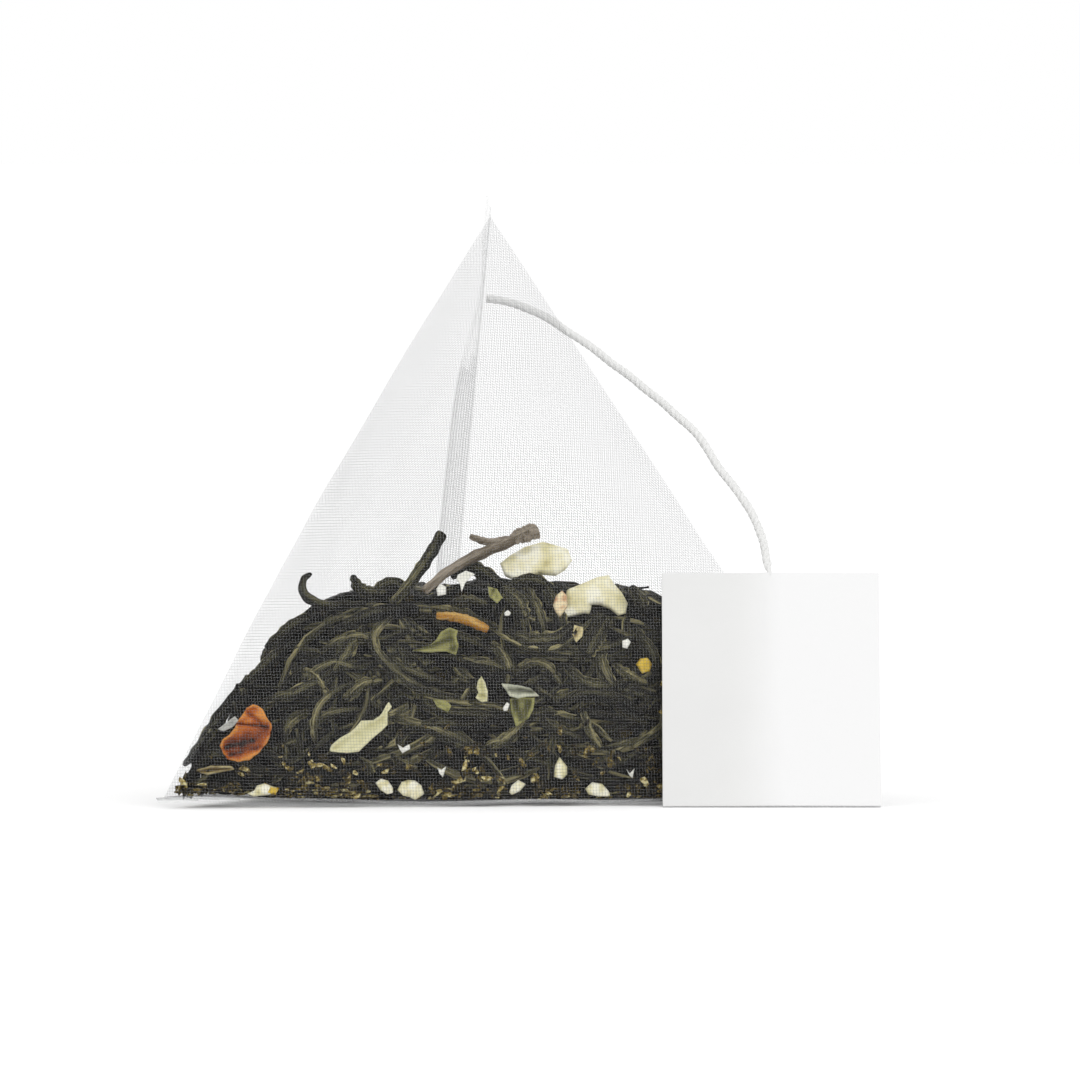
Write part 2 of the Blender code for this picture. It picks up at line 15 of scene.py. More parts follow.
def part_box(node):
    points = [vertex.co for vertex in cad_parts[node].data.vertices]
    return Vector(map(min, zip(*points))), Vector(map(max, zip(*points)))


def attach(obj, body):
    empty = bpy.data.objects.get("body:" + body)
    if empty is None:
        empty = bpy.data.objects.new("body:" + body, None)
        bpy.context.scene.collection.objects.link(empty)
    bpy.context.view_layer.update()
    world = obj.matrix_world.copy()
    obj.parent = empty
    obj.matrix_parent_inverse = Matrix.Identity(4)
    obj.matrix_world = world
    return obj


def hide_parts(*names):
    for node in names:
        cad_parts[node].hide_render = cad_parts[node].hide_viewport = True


bl_info = {
    "name": "Pyramid tea bag",
    "version": (1, 0, 0),
    "blender": (4, 5, 0),
    "location": "View3D > Sidebar > Tea bag",
    "description": "Weaves, fills and dresses a pyramid tea bag on its packed solids",
    "category": "Object",
}

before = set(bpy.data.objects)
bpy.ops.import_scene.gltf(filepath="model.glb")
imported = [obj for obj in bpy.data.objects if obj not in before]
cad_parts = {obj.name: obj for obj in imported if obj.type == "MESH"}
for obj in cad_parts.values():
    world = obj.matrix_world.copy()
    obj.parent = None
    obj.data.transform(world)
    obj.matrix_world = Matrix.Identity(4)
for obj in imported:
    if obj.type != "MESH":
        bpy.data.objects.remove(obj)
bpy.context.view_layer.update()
MM = 0.001

# The folded tube of mesh, as the solids have it
TUBE_WIDTH = 0.0645
BAG_TURN = math.radians(7.4)
BAG_WALL = 0.0003
CORNER_LIFT = 0.0010
FACE_BULGE = {"A": 0.0010, "B": 0.0010, "C": 0.0013, "D": 0.0016}
EDGE_BULGE = {"AB": 0.0009, "AC": 0.0006, "AD": 0.0011, "BC": 0.0006, "BD": 0.0002, "CD": 0.0004}
FOLD_ROUNDING = 0.006
PYRAMID_HEIGHT = TUBE_WIDTH * math.sqrt(2 / 3)
FACE_HEIGHT = TUBE_WIDTH * math.sqrt(3) / 2
PLACE_UNIT = TUBE_WIDTH / 100
CLEARANCE = 0.0003
TABLE_GAP = 0.00005
FIN_WIDTH = 0.0022
FIN_DROOP = 0.0003
FIN_END_SHARE = 0.012
FIN_PLY_GAP = 0.00005
# Beyond a seal edge, the second lowest of a point's corner weights is under this
FIN_SHARE = -0.003
# Furthest that the points of a thread lie apart, round the tube and from seal to seal
WEFT_STEP = 0.0030
WARP_STEP = 0.0028
WELD_REACHES = (0.0017, 0.0022)
WELD_THICKNESS = 0.00022
# Waves along each fin: how far it turns, in radians, and how fast it waves
FRONT_FIN_WAVE = (0.10, 9.0)
REAR_FIN_WAVE = (0.08, 21.0)
# The rear fin's lean to the left between the base corner and the string's bond
REAR_FIN_LEAN = 1.15
REAR_LEAN_START = 0.06
REAR_LEAN_SPAN = 0.80
REAR_LEAN_POWER = 1.3
# Dents of the filled cloth and the finer pulls in it: size and depth
CLOTH_DENT = (0.011, 0.00022)
CLOTH_PULL = (0.0045, 0.00007)

# The heap of tea
HEAP_HEIGHT = 0.0190
HEAP_LEVEL_REACH = 0.0120
HEAP_FALL_REACH = 0.0105
HEAP_FALL = 0.0060
HEAP_FALL_POWER = 1.6
HEAP_LUMP = 0.0011
HEAP_LUMP_SIZE = 0.0045
LEAF_THICKNESS = 0.0007
LAYER_STEP = 0.0010
CHIP_THICKNESS = 0.0007
BIT_THICKNESS = 0.0004
PETAL_WALL = 0.00014
# Ranges for the loose leaves: lengths, widths, and depths behind the face that they lie against
LONG_LEAF = (0.006, 0.018)
SHORT_LEAF = (0.002, 0.005)
CORNER_LEAF = (0.0012, 0.004)
TOP_LEAF = (0.004, 0.010)
LEAF_WIDTHS = (0.0008, 0.0017)
CORNER_LEAF_WIDTHS = (0.0006, 0.0011)
TOP_LEAF_WIDTHS = (0.0007, 0.0014)
LEAF_DEPTHS = (0.0009, 0.0018)
FRONT_DEPTHS = (0.0021, 0.0032)
CORNER_DEPTHS = (0.0007, 0.0013)
CORNER_FRONT_DEPTHS = (0.0009, 0.0016)
# Leaves under this height are narrower
LOW_BAND = 0.0045
MOST_LEAF_THICKNESS = 0.0012
LINE_POINTS = 6
LOOSE_LEAF_RINGS = 12
FRONT_LEAF_RINGS = 40
FIBRE_PITCH = 0.00012
FIBRE_LENGTH = 0.0022
# Right end of the thin left corner that the short leaves fill
CORNER_REACH_X = -0.0238
# Where the middles of the top leaves may lie, across and from front to back
TOP_SPAN_X = (-0.026, 0.026)
TOP_SPAN_Y = (-0.018, 0.034)
TOP_SIDE_GAP = 0.0011
TOP_FRONT_GAP = 0.0026
# How far the crumbs have sifted up the mesh, and their share higher up
CRUMB_REACH = 0.0038
CRUMB_STRAY_SHARE = 0.002
CRUMB_SIZES = (0.0003, 0.0009)
CRUMB_DEPTHS = (0.0004, 0.0012)
CRUMB_FRONT_DEPTHS = (0.0003, 0.0015)
# Depth behind the front face in which a crumb could poke through a petal
PETAL_BAND = 0.0028

FRONT, RIGHT, BASE, LEFT = range(4)
HIDDEN_CORNER = {FRONT: 2, RIGHT: 0, BASE: 3, LEFT: 1}


def corner_places():
    """Front left, front right, rear and apex corners."""
    foot = TUBE_WIDTH / (2 * math.sqrt(3))
    half = TUBE_WIDTH / 2
    flat = [(-half, -foot, 0), (half, -foot, 0), (0, 2 * foot, 0), (0, 0, PYRAMID_HEIGHT)]
    turn = np.array(Matrix.Rotation(BAG_TURN, 3, "Z"))
    return np.array(flat) @ turn.T + (0, 0, CORNER_LIFT)


CORNERS = corner_places()
CENTRE = CORNERS.mean(axis=0)


def unit(vectors):
    """Vectors scaled to a length of one."""
    vectors = np.asarray(vectors, float)
    return vectors / np.maximum(np.linalg.norm(vectors, axis=-1, keepdims=True), 1e-12)


FACE_NORMALS = unit([CENTRE - CORNERS[HIDDEN_CORNER[face]] for face in range(4)])


def skin_bulge(weights):
    """How far the cloth swells from the flat fold, for points given by their four corner weights."""
    swell = np.zeros(weights.shape[:-1] + (3,))
    for pair, amount in EDGE_BULGE.items():
        first, second = ("ABCD".index(name) for name in pair)
        outward = unit((CORNERS[first] + CORNERS[second]) / 2 - CENTRE)
        swell += outward * (amount * 4 * weights[..., first] * weights[..., second])[..., None]
    for name, amount in FACE_BULGE.items():
        hidden = "ABCD".index(name)
        share = 27 * np.prod(np.delete(weights, hidden, axis=-1), axis=-1)
        swell += unit(CENTRE - CORNERS[hidden]) * (amount * share)[..., None]
    return swell


def skin_points(weights, insets=(0, 0, 0, 0), floor=0.0):
    """Points of the swollen skin, drawn in by an inset at the face opposite each corner."""
    shares = np.asarray(insets, float) / PYRAMID_HEIGHT
    left = 1 - shares.sum(axis=-1, keepdims=True)
    places = (shares + weights * left) @ CORNERS + skin_bulge(weights)
    places[..., 2] = np.maximum(places[..., 2], floor)
    return places


def skin_normals(weights):
    """Outward directions, rounded where two faces meet at a fold."""
    total = np.zeros(weights.shape[:-1] + (3,))
    for face in range(4):
        nearness = np.exp(-weights[..., HIDDEN_CORNER[face]] / FOLD_ROUNDING)
        total += FACE_NORMALS[face] * nearness[..., None]
    return unit(total)


def sheet_weights(s, t):
    """Corner weights and face of places on the sheet: s round the tube and t from seal to seal."""
    far = np.clip(np.asarray(t, float) / FACE_HEIGHT, 0, 1)
    round_it = np.mod(np.asarray(s, float) / TUBE_WIDTH, 2.0)
    half = far / 2
    face = np.full(far.shape, LEFT)
    face[(round_it >= half) & (round_it <= 1 - half)] = FRONT
    face[(round_it > 1 - half) & (round_it < 1 + half)] = RIGHT
    face[(round_it >= 1 + half) & (round_it <= 2 - half)] = BASE
    weights = np.zeros(far.shape + (4,))
    b = round_it - half
    c = round_it - (1 - half)
    a = round_it - (1 + half)
    d = np.where(round_it > 1, round_it - (2 - half), round_it + half)
    shares = {FRONT: {3: far, 1: b, 0: 1 - far - b}, RIGHT: {1: 1 - far, 2: c, 3: far - c},
              BASE: {2: far, 0: a, 1: 1 - far - a}, LEFT: {0: 1 - far, 3: d, 2: far - d}}
    for here, corners in shares.items():
        for corner, share in corners.items():
            weights[..., corner] += np.where(face == here, share, 0)
    return np.clip(weights, 0, 1), face


def front_places(across, up, depth):
    """Points at a depth behind the front face that show at these places, seen from the front."""
    wanted = np.stack([np.asarray(across, float), np.asarray(up, float)], axis=-1) * PLACE_UNIT
    depth = np.broadcast_to(depth, wanted.shape[:-1])
    insets = np.zeros(wanted.shape[:-1] + (4,))
    insets[..., 2] = depth
    aim = wanted.copy()
    for _ in range(4):
        far = (aim[..., 1] - CORNER_LIFT) / PYRAMID_HEIGHT
        left_x = CORNERS[0, 0] * (1 - far)
        right_x = CORNERS[1, 0] * (1 - far)
        share = (aim[..., 0] - left_x) / (right_x - left_x)
        weights = np.stack([(1 - far) * (1 - share), (1 - far) * share, np.zeros_like(far), far], axis=-1)
        places = skin_points(weights, insets)
        aim += wanted - places[..., [0, 2]]
    return places


def layer_depth(layer):
    """Middle depth of a leaf layer behind the front face: 0 lies on the mesh and 1 is behind it."""
    return BAG_WALL + CLEARANCE + LEAF_THICKNESS / 2 + layer * LAYER_STEP


def smooth_route(points, count):
    """Evenly numbered points on a smooth curve through chosen ones."""
    points = np.asarray(points, float)
    ends = np.vstack([points[0] * 2 - points[1], points, points[-1] * 2 - points[-2]])
    spans = len(points) - 1
    at = spans * np.arange(count) / (count - 1)
    span = np.minimum(at.astype(int), spans - 1)
    t = (at - span)[:, None]
    a, b, c, d = (ends[span + k] for k in range(4))
    return 0.5 * (2 * b + (c - a) * t + (2 * a - 5 * b + 4 * c - d) * t ** 2
                  + (3 * b - a - 3 * c + d) * t ** 3)


def heap_height(x, y):
    """Top of the tea, lumpy, level in the middle and falling towards the base corners."""
    drop = sum(HEAP_FALL * (np.maximum(0, reach - HEAP_LEVEL_REACH) / HEAP_FALL_REACH) ** HEAP_FALL_POWER
               for reach in (np.abs(x), np.asarray(y, float)))
    lump = [noise.noise(Vector((a, b, 0)) / HEAP_LUMP_SIZE) for a, b in zip(x, y)]
    return HEAP_HEIGHT - drop + HEAP_LUMP * np.array(lump)


def linear(hex_colour):
    """The linear colour, with alpha, of an sRGB hex value such as #D9822B."""
    parts = [int(hex_colour[k:k + 2], 16) / 255 for k in (1, 3, 5)]
    return (*[p / 12.92 if p <= 0.04045 else ((p + 0.055) / 1.055) ** 2.4 for p in parts], 1.0)


def add_node(tree, kind, inputs=None, stops=None, **settings):
    """A node with its settings, its colour stops and its inputs' values or links."""
    made = tree.nodes.new(kind)
    for key, value in settings.items():
        setattr(made, key, value)
    if stops:
        ramp = made.color_ramp.elements
        while len(ramp) < len(stops):
            ramp.new(1.0)
        for element, (position, colour) in zip(ramp, stops):
            element.position = position
            element.color = linear(colour)
    for key, value in (inputs or {}).items():
        if isinstance(value, bpy.types.NodeSocket):
            tree.links.new(value, made.inputs[key])
        else:
            made.inputs[key].default_value = value
    return made


def new_material(name):
    """An empty node material with its shader and its output joined."""
    made = bpy.data.materials.new(name)
    made.use_nodes = True
    tree = made.node_tree
    tree.nodes.clear()
    shader = add_node(tree, "ShaderNodeBsdfPrincipled")
    add_node(tree, "ShaderNodeOutputMaterial", {"Surface": shader.outputs[0]})
    return made, tree, shader


def own_place(tree):
    """Places in the object's own frame, in metres."""
    return add_node(tree, "ShaderNodeTexCoord").outputs["Object"]


def point_value(tree, name, output="Fac"):
    """A value that the mesh keeps for each of its points."""
    return add_node(tree, "ShaderNodeAttribute", attribute_name=name).outputs[output]


def cloud(tree, vector, scale, **others):
    """Noise of this scale over a vector, with the texture's other inputs by name."""
    others = {key.title(): value for key, value in others.items()}
    return add_node(tree, "ShaderNodeTexNoise", {"Vector": vector, "Scale": scale, **others}).outputs["Fac"]


def calculate(tree, operation, *values, **settings):
    """The result of a sum over values or links."""
    made = add_node(tree, "ShaderNodeMath", dict(enumerate(values)), operation=operation, **settings)
    return made.outputs[0]


def dress(tree, shader, factor, stops, values, height=None, strength=0.0, distance=0.0):
    """Gives a shader its colour ramp, its plain values and, where there is a height, its bump."""
    shade = add_node(tree, "ShaderNodeValToRGB", {"Fac": factor}, stops=stops)
    tree.links.new(shade.outputs["Color"], shader.inputs["Base Color"])
    for key, value in values.items():
        shader.inputs[key].default_value = value
    if height is not None:
        bump = add_node(tree, "ShaderNodeBump",
                        {"Height": height, "Strength": strength, "Distance": distance})
        tree.links.new(bump.outputs["Normal"], shader.inputs["Normal"])


def nylon_thread():
    """Monofilament nylon: clear white threads that pass most light, so pale things show through them."""
    made, tree, shader = new_material("nylon_thread")
    opacity = bpy.context.scene.tea_bag_mesh.thread_opacity
    haze = cloud(tree, own_place(tree), 160.0, detail=2.0)
    dress(tree, shader, haze, [(0.3, "#AAABAC"), (0.7, "#B9BABB")],
          {"Roughness": 0.38, "IOR": 1.53, "Alpha": opacity})
    return made


def pressed_thread():
    """Nylon threads that the sealing bar has flattened and whitened in the fins: pale and nearly clear."""
    made, tree, shader = new_material("pressed_thread")
    opacity = bpy.context.scene.tea_bag_mesh.thread_opacity * 0.25
    haze = cloud(tree, own_place(tree), 900.0, detail=2.0)
    dress(tree, shader, haze, [(0.3, "#F6F7F7"), (0.7, "#FFFFFF")],
          {"Roughness": 0.45, "Alpha": opacity})
    return made


def sealed_nylon():
    """Heat-sealed nylon: two plies melted into a clouded strip with a fine pressed grain."""
    made, tree, shader = new_material("sealed_nylon")
    # Pressed grain of the sealing bar, 0.5 mm apart
    grain = add_node(tree, "ShaderNodeTexVoronoi", {"Vector": own_place(tree), "Scale": 2000.0})
    dress(tree, shader, grain.outputs["Distance"], [(0.1, "#FBFBFB"), (0.7, "#F0F1F1")],
          {"Roughness": 0.42, "IOR": 1.53, "Alpha": 0.08}, grain.outputs["Distance"], 0.5, 0.00008)
    return made


# The pale upper stops of these tone lists also colour the leaves' painted highlights
LEAF_TONES = [(0.0, "#070605"), (0.3, "#11100B"), (0.5, "#242218"), (0.68, "#3E3C29"), (0.85, "#656044"),
              (1.0, "#999166")]
CRUMB_TONES = [(0.0, "#0A0805"), (0.3, "#1A160A"), (0.5, "#3B3218"), (0.7, "#6A5A28"), (0.88, "#A08E50"),
               (1.0, "#DCD29E")]
STEM_TONES = [(0.0, "#2C261F"), (0.5, "#625849"), (1.0, "#A39888")]
AMBER_TONES = [(0.1, "#6E4214"), (0.5, "#A9762B"), (0.95, "#D2AE66")]


def dry_leaf(name, tones):
    """Rolled dry leaf: dull dark green grey, with veins drawn out along its length and painted highlights
    along its folds.
    """
    made, tree, shader = new_material(name)
    grain = point_value(tree, "grain", "Vector")
    # Fibres 0.12 mm apart that run along the leaf
    fibres = cloud(tree, grain, 1.0, detail=4.0, roughness=0.65)
    # Long pale lines 0.4 mm apart along the rolled edges: painted highlights where the edges would catch the
    # light
    folds = cloud(tree, grain, 0.32, detail=1.0)
    both = calculate(tree, "MULTIPLY_ADD", folds, 1.9, fibres)
    fibres_and_painted_highlight = calculate(tree, "MULTIPLY", calculate(tree, "SUBTRACT", both, 1.45), 0.7)
    # Each point's tone already holds the painted highlight along the leaf's margin
    mixed = calculate(tree, "ADD", point_value(tree, "tone"), fibres_and_painted_highlight, use_clamp=True)
    dress(tree, shader, mixed, tones, {"Roughness": 0.48, "Specular IOR Level": 0.09}, fibres, 0.5, 0.00012)
    return made


def dust_and_painted_shade():
    """Packed tea dust: near black, partly its own dark colour and partly painted shade of the deep gaps
    between the leaves, broken by brown and olive grains under a millimetre wide.
    """
    made, tree, shader = new_material("dust_and_painted_shade")
    grains = add_node(tree, "ShaderNodeTexVoronoi", {"Vector": own_place(tree), "Scale": 1400.0})
    dress(tree, shader, grains.outputs["Color"],
          [(0.2, "#090907"), (0.6, "#14140D"), (0.85, "#262113"), (1.0, "#4A4124")],
          {"Roughness": 0.85, "Specular IOR Level": 0.1}, grains.outputs["Distance"], 1.0, 0.0004)
    return made


def dry_petal(name, tones):
    """Dry petal or fruit skin: papery, darker in its folds as painted shade, with fine veins about 1 mm
    apart.
    """
    made, tree, shader = new_material(name)
    veins = cloud(tree, own_place(tree), 900.0, detail=5.0, roughness=0.6, distortion=0.8)
    # For a petal, the relief value darkens deep folds and creases and pales the raised edge: painted shade
    # and painted highlight
    blend = calculate(tree, "MULTIPLY_ADD", veins, 0.55, point_value(tree, "relief"))
    dress(tree, shader, blend, tones, {"Roughness": 0.62, "Specular IOR Level": 0.3}, veins, 0.6, 0.0002)
    return made


def cotton_yarn():
    """Twisted cotton: matt white plies with fine fibres round them and a soft nap."""
    made, tree, shader = new_material("cotton_yarn")
    fibres = cloud(tree, point_value(tree, "grain", "Vector"), 1.0, detail=4.0)
    dress(tree, shader, fibres, [(0.25, "#E2E2E0"), (0.7, "#F5F5F4")],
          {"Roughness": 0.9, "Sheen Weight": 0.3, "Subsurface Weight": 0.15,
           "Subsurface Radius": (0.0003, 0.0003, 0.0003), "Subsurface Scale": 1.0}, fibres, 0.7, 0.00008)
    return made


def uncoated_card():
    """Uncoated white card, 200 grams: matt, faintly mottled, with a felt of short paper fibres and a painted
    shade on its left half.
    """
    made, tree, shader = new_material("uncoated_card")
    spot = own_place(tree)
    across = add_node(tree, "ShaderNodeSeparateXYZ", {"Vector": spot})
    # The left half, which turns a little away from the light up to the string between the two plies, also
    # gets a painted shade: its colour runs darker
    half = add_node(tree, "ShaderNodeMapRange", {"Value": across.outputs["X"], "From Min": 0.0205,
                                                 "From Max": 0.0290}, interpolation_type="SMOOTHSTEP")
    mottle = cloud(tree, spot, 180.0, detail=2.0)
    tone = calculate(tree, "MULTIPLY_ADD", mottle, 0.35, half.outputs["Result"])
    fibres = cloud(tree, spot, 5200.0, detail=3.0, distortion=1.5)
    dress(tree, shader, tone, [(0.05, "#E3E3E2"), (0.35, "#E7E7E6"), (1.0, "#F1F1F1")],
          {"Roughness": 0.82, "Specular IOR Level": 0.3}, fibres, 0.25, 0.00003)
    return made


def mesh_object(name, places, faces, finish):
    """A mesh object at the origin from points and faces."""
    mesh = bpy.data.meshes.new(name)
    faces = faces if isinstance(faces, list) else faces.tolist()
    mesh.from_pydata(np.asarray(places).tolist(), [], faces)
    mesh.update()
    mesh.shade_smooth()
    if finish:
        mesh.materials.append(finish)
    made = bpy.data.objects.new(name, mesh)
    bpy.context.scene.collection.objects.link(made)
    return made


def point_attribute(obj, name, kind, values):
    """A named value for every point of a mesh, which its material reads."""
    made = obj.data.attributes.new(name, kind, "POINT")
    key = "vector" if kind == "FLOAT_VECTOR" else "value"
    made.data.foreach_set(key, np.asarray(values, np.float32).ravel())


def settle(obj, slot, *nodes):
    """Makes a finished piece part of the object and lets it stand for its solids."""
    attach(obj, "root")
    if nodes:
        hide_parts(*nodes)
    return obj


def select_only(first, *others):
    """Selects these objects alone and makes the first one active."""
    bpy.ops.object.select_all(action="DESELECT")
    for obj in (first, *others):
        obj.select_set(True)
    bpy.context.view_layer.objects.active = first


def give_wall(obj, thickness, offset=0):
    """Makes a thin sheet solid."""
    wall = obj.modifiers.new("wall", "SOLIDIFY")
    wall.thickness = thickness
    wall.offset = offset


def apply_modifiers(obj):
    """Makes an object's modifiers part of its mesh."""
    select_only(obj)
    for change in list(obj.modifiers):
        bpy.ops.object.modifier_apply(modifier=change.name)


# Mesh cloth

def cloth_relief(places, weights):
    """Soft dents and pulls of the filled bag, in metres along the skin's normal."""
    size, depth = CLOTH_DENT
    relief = np.array([noise.noise(Vector(place) / size) for place in places]) * depth
    size, depth = CLOTH_PULL
    relief += np.array([noise.noise(Vector(place) / size + Vector((9, 3, 5))) for place in places]) * depth
    ease = np.clip(weights.max(axis=-1), 0, 1)
    return relief * (1 - ease ** 6)


def cloth_points(weights):
    """Points and normals of the bag's cloth at these corner weights."""
    places = skin_points(weights)
    normals = skin_normals(weights)
    places = places + normals * (cloth_relief(places, weights) - BAG_WALL / 2)[:, None]
    places[:, 2] = np.maximum(places[:, 2], TABLE_GAP)
    return places, normals


def fin_frame(seal, along):
    """Edge points of a seal, with the outward and upward directions of the fin there."""
    along = np.asarray(along, float)
    weights = np.zeros(along.shape + (4,))
    first, second = ((0, 1), (2, 3))[seal]
    weights[:, first] = 1 - along
    weights[:, second] = along
    edge, _ = cloth_points(weights)
    axis = unit(CORNERS[second] - CORNERS[first])
    middle = (CORNERS[first] + CORNERS[second]) / 2
    outward = unit((middle[0], middle[1], 0)) if seal == 0 else unit(middle - CENTRE)
    up = np.cross(axis, outward)
    if seal == 0:
        lean = FRONT_FIN_WAVE[0] * np.sin(along * FRONT_FIN_WAVE[1])
    else:
        share = np.clip((along - REAR_LEAN_START) / REAR_LEAN_SPAN, 0, 1)
        lean = REAR_FIN_LEAN * np.sin(math.pi * share) ** REAR_LEAN_POWER
        lean = lean + REAR_FIN_WAVE[0] * np.sin(along * REAR_FIN_WAVE[1])
    turn = np.cos(lean)[:, None], np.sin(lean)[:, None]
    out = outward * turn[0] + up * turn[1]
    return edge, out, np.cross(np.broadcast_to(axis, out.shape), out)


def fin_points(seal, along, reach, ply):
    """Points on one ply of a fin, at a reach from the seal edge."""
    edge, out, up = fin_frame(seal, along)
    reach = np.broadcast_to(reach, np.shape(along))[:, None]
    places = edge + out * reach + up * (ply * FIN_PLY_GAP)
    if seal == 0:
        places[:, 2] -= FIN_DROOP * (reach[:, 0] / FIN_WIDTH) ** 2
    places[:, 2] = np.maximum(places[:, 2], TABLE_GAP)
    return places, up * ply


class Threads:
    """Gathers square-sectioned threads into one mesh."""

    def __init__(self, width, height):
        self.width = width
        self.height = height
        self.places = []
        self.faces = []
        self.count = 0

    def add(self, points, normals, lift, closed=False):
        points = points + normals * lift
        if closed:
            tangents = np.roll(points, -1, axis=0) - np.roll(points, 1, axis=0)
        else:
            tangents = np.gradient(points, axis=0)
        sides = unit(np.cross(normals, tangents))
        ups = unit(np.cross(tangents, sides))
        ring = [sides * (x * self.width / 2) + ups * (y * self.height / 2)
                for x, y in ((1, -1), (1, 1), (-1, 1), (-1, -1))]
        self.places.append(np.stack([points + corner for corner in ring], axis=1).reshape(-1, 3))
        count = len(points)
        start = self.count + 4 * np.arange(count)
        following = np.roll(start, -1) if closed else start[1:]
        start = start if closed else start[:-1]
        for k in range(4):
            after = (k + 1) % 4
            corners = [start + k, start + after, following + after, following + k]
            self.faces.append(np.stack(corners, axis=1))
        if not closed:
            first, last = self.count, self.count + 4 * (count - 1)
            self.faces.append(np.array([[first + 3, first + 2, first + 1, first],
                                        [last, last + 1, last + 2, last + 3]]))
        self.count += 4 * count

    def build(self, name, finish):
        return mesh_object(name, np.vstack(self.places), np.vstack(self.faces), finish)


def spread(stops, step):
    """Places between given stops, no further apart than a step, with every stop kept."""
    made = [stops[0]]
    for first, second in zip(stops, stops[1:]):
        count = max(1, math.ceil((second - first) / step))
        made += list(first + (second - first) * np.arange(1, count + 1) / count)
    return np.array(made)


def weave_wefts(threads, pitch, step):
    """Rings round the tube, parallel to the seals of the faces that they cross."""
    count = int(FACE_HEIGHT / pitch)
    for k in range(count):
        t = (k + 0.5) * FACE_HEIGHT / count
        half = t / FACE_HEIGHT * TUBE_WIDTH / 2
        stops = [half, TUBE_WIDTH - half, TUBE_WIDTH + half, 2 * TUBE_WIDTH - half, 2 * TUBE_WIDTH + half]
        s = spread(stops, step)[:-1]
        weights, _ = sheet_weights(s, np.full(len(s), t))
        places, normals = cloth_points(weights)
        threads.add(places, normals, -threads.height / 2, closed=True)


def weave_warps(threads, pitch, step):
    """Threads from seal to seal over one fold, run on into the fins at both ends."""
    count = round(2 * TUBE_WIDTH / pitch)
    reaches = np.array([FIN_WIDTH, FIN_WIDTH / 2])
    for k in range(count):
        s = (k + 0.5) * 2 * TUBE_WIDTH / count
        share = s / TUBE_WIDTH
        fold = abs((2 * share) % 2 - (2 if (2 * share) % 2 > 1 else 0))
        t = spread([0, fold * FACE_HEIGHT, FACE_HEIGHT], step)
        weights, _ = sheet_weights(np.full(len(t), s), t)
        places, normals = cloth_points(weights)
        front_along = share if share <= 1 else 2 - share
        front_ply = 1 if share <= 1 else -1
        start, start_up = fin_points(0, np.full(2, front_along), reaches, front_ply)
        turned = (share - 1.5) % 2
        rear_along = turned if turned <= 1 else 2 - turned
        rear_ply = -1 if turned <= 1 else 1
        end, end_up = fin_points(1, np.full(2, rear_along), reaches[::-1], rear_ply)
        threads.add(np.vstack([start, places, end]), np.vstack([start_up, normals, end_up]),
                    threads.height / 2)


def weave_fins(threads, pitch):
    """Threads that run along each fin, in both of its plies."""
    along = np.linspace(-FIN_END_SHARE, 1 + FIN_END_SHARE, 35)
    for seal in (0, 1):
        for ply in (-1, 1):
            for k in range(int(FIN_WIDTH / pitch)):
                places, ups = fin_points(seal, along, (k + 0.6) * pitch, ply)
                threads.add(places, ups, -threads.height / 2)


def weld_strip(seal, name, finish):
    """The melted strip along the outer edge of a fin."""
    along = np.linspace(-FIN_END_SHARE, 1 + FIN_END_SHARE, 97)
    reaches = np.linspace(*WELD_REACHES, 4)
    rows = [fin_points(seal, along, reach, 0)[0] for reach in reaches]
    places = np.stack(rows, axis=1).reshape(-1, 3)
    width = len(reaches)
    faces = [(i * width + j, i * width + j + 1, (i + 1) * width + j + 1, (i + 1) * width + j)
             for i in range(len(along) - 1) for j in range(width - 1)]
    strip = mesh_object(name, places, faces, finish)
    give_wall(strip, WELD_THICKNESS)
    apply_modifiers(strip)
    return strip


# Tea

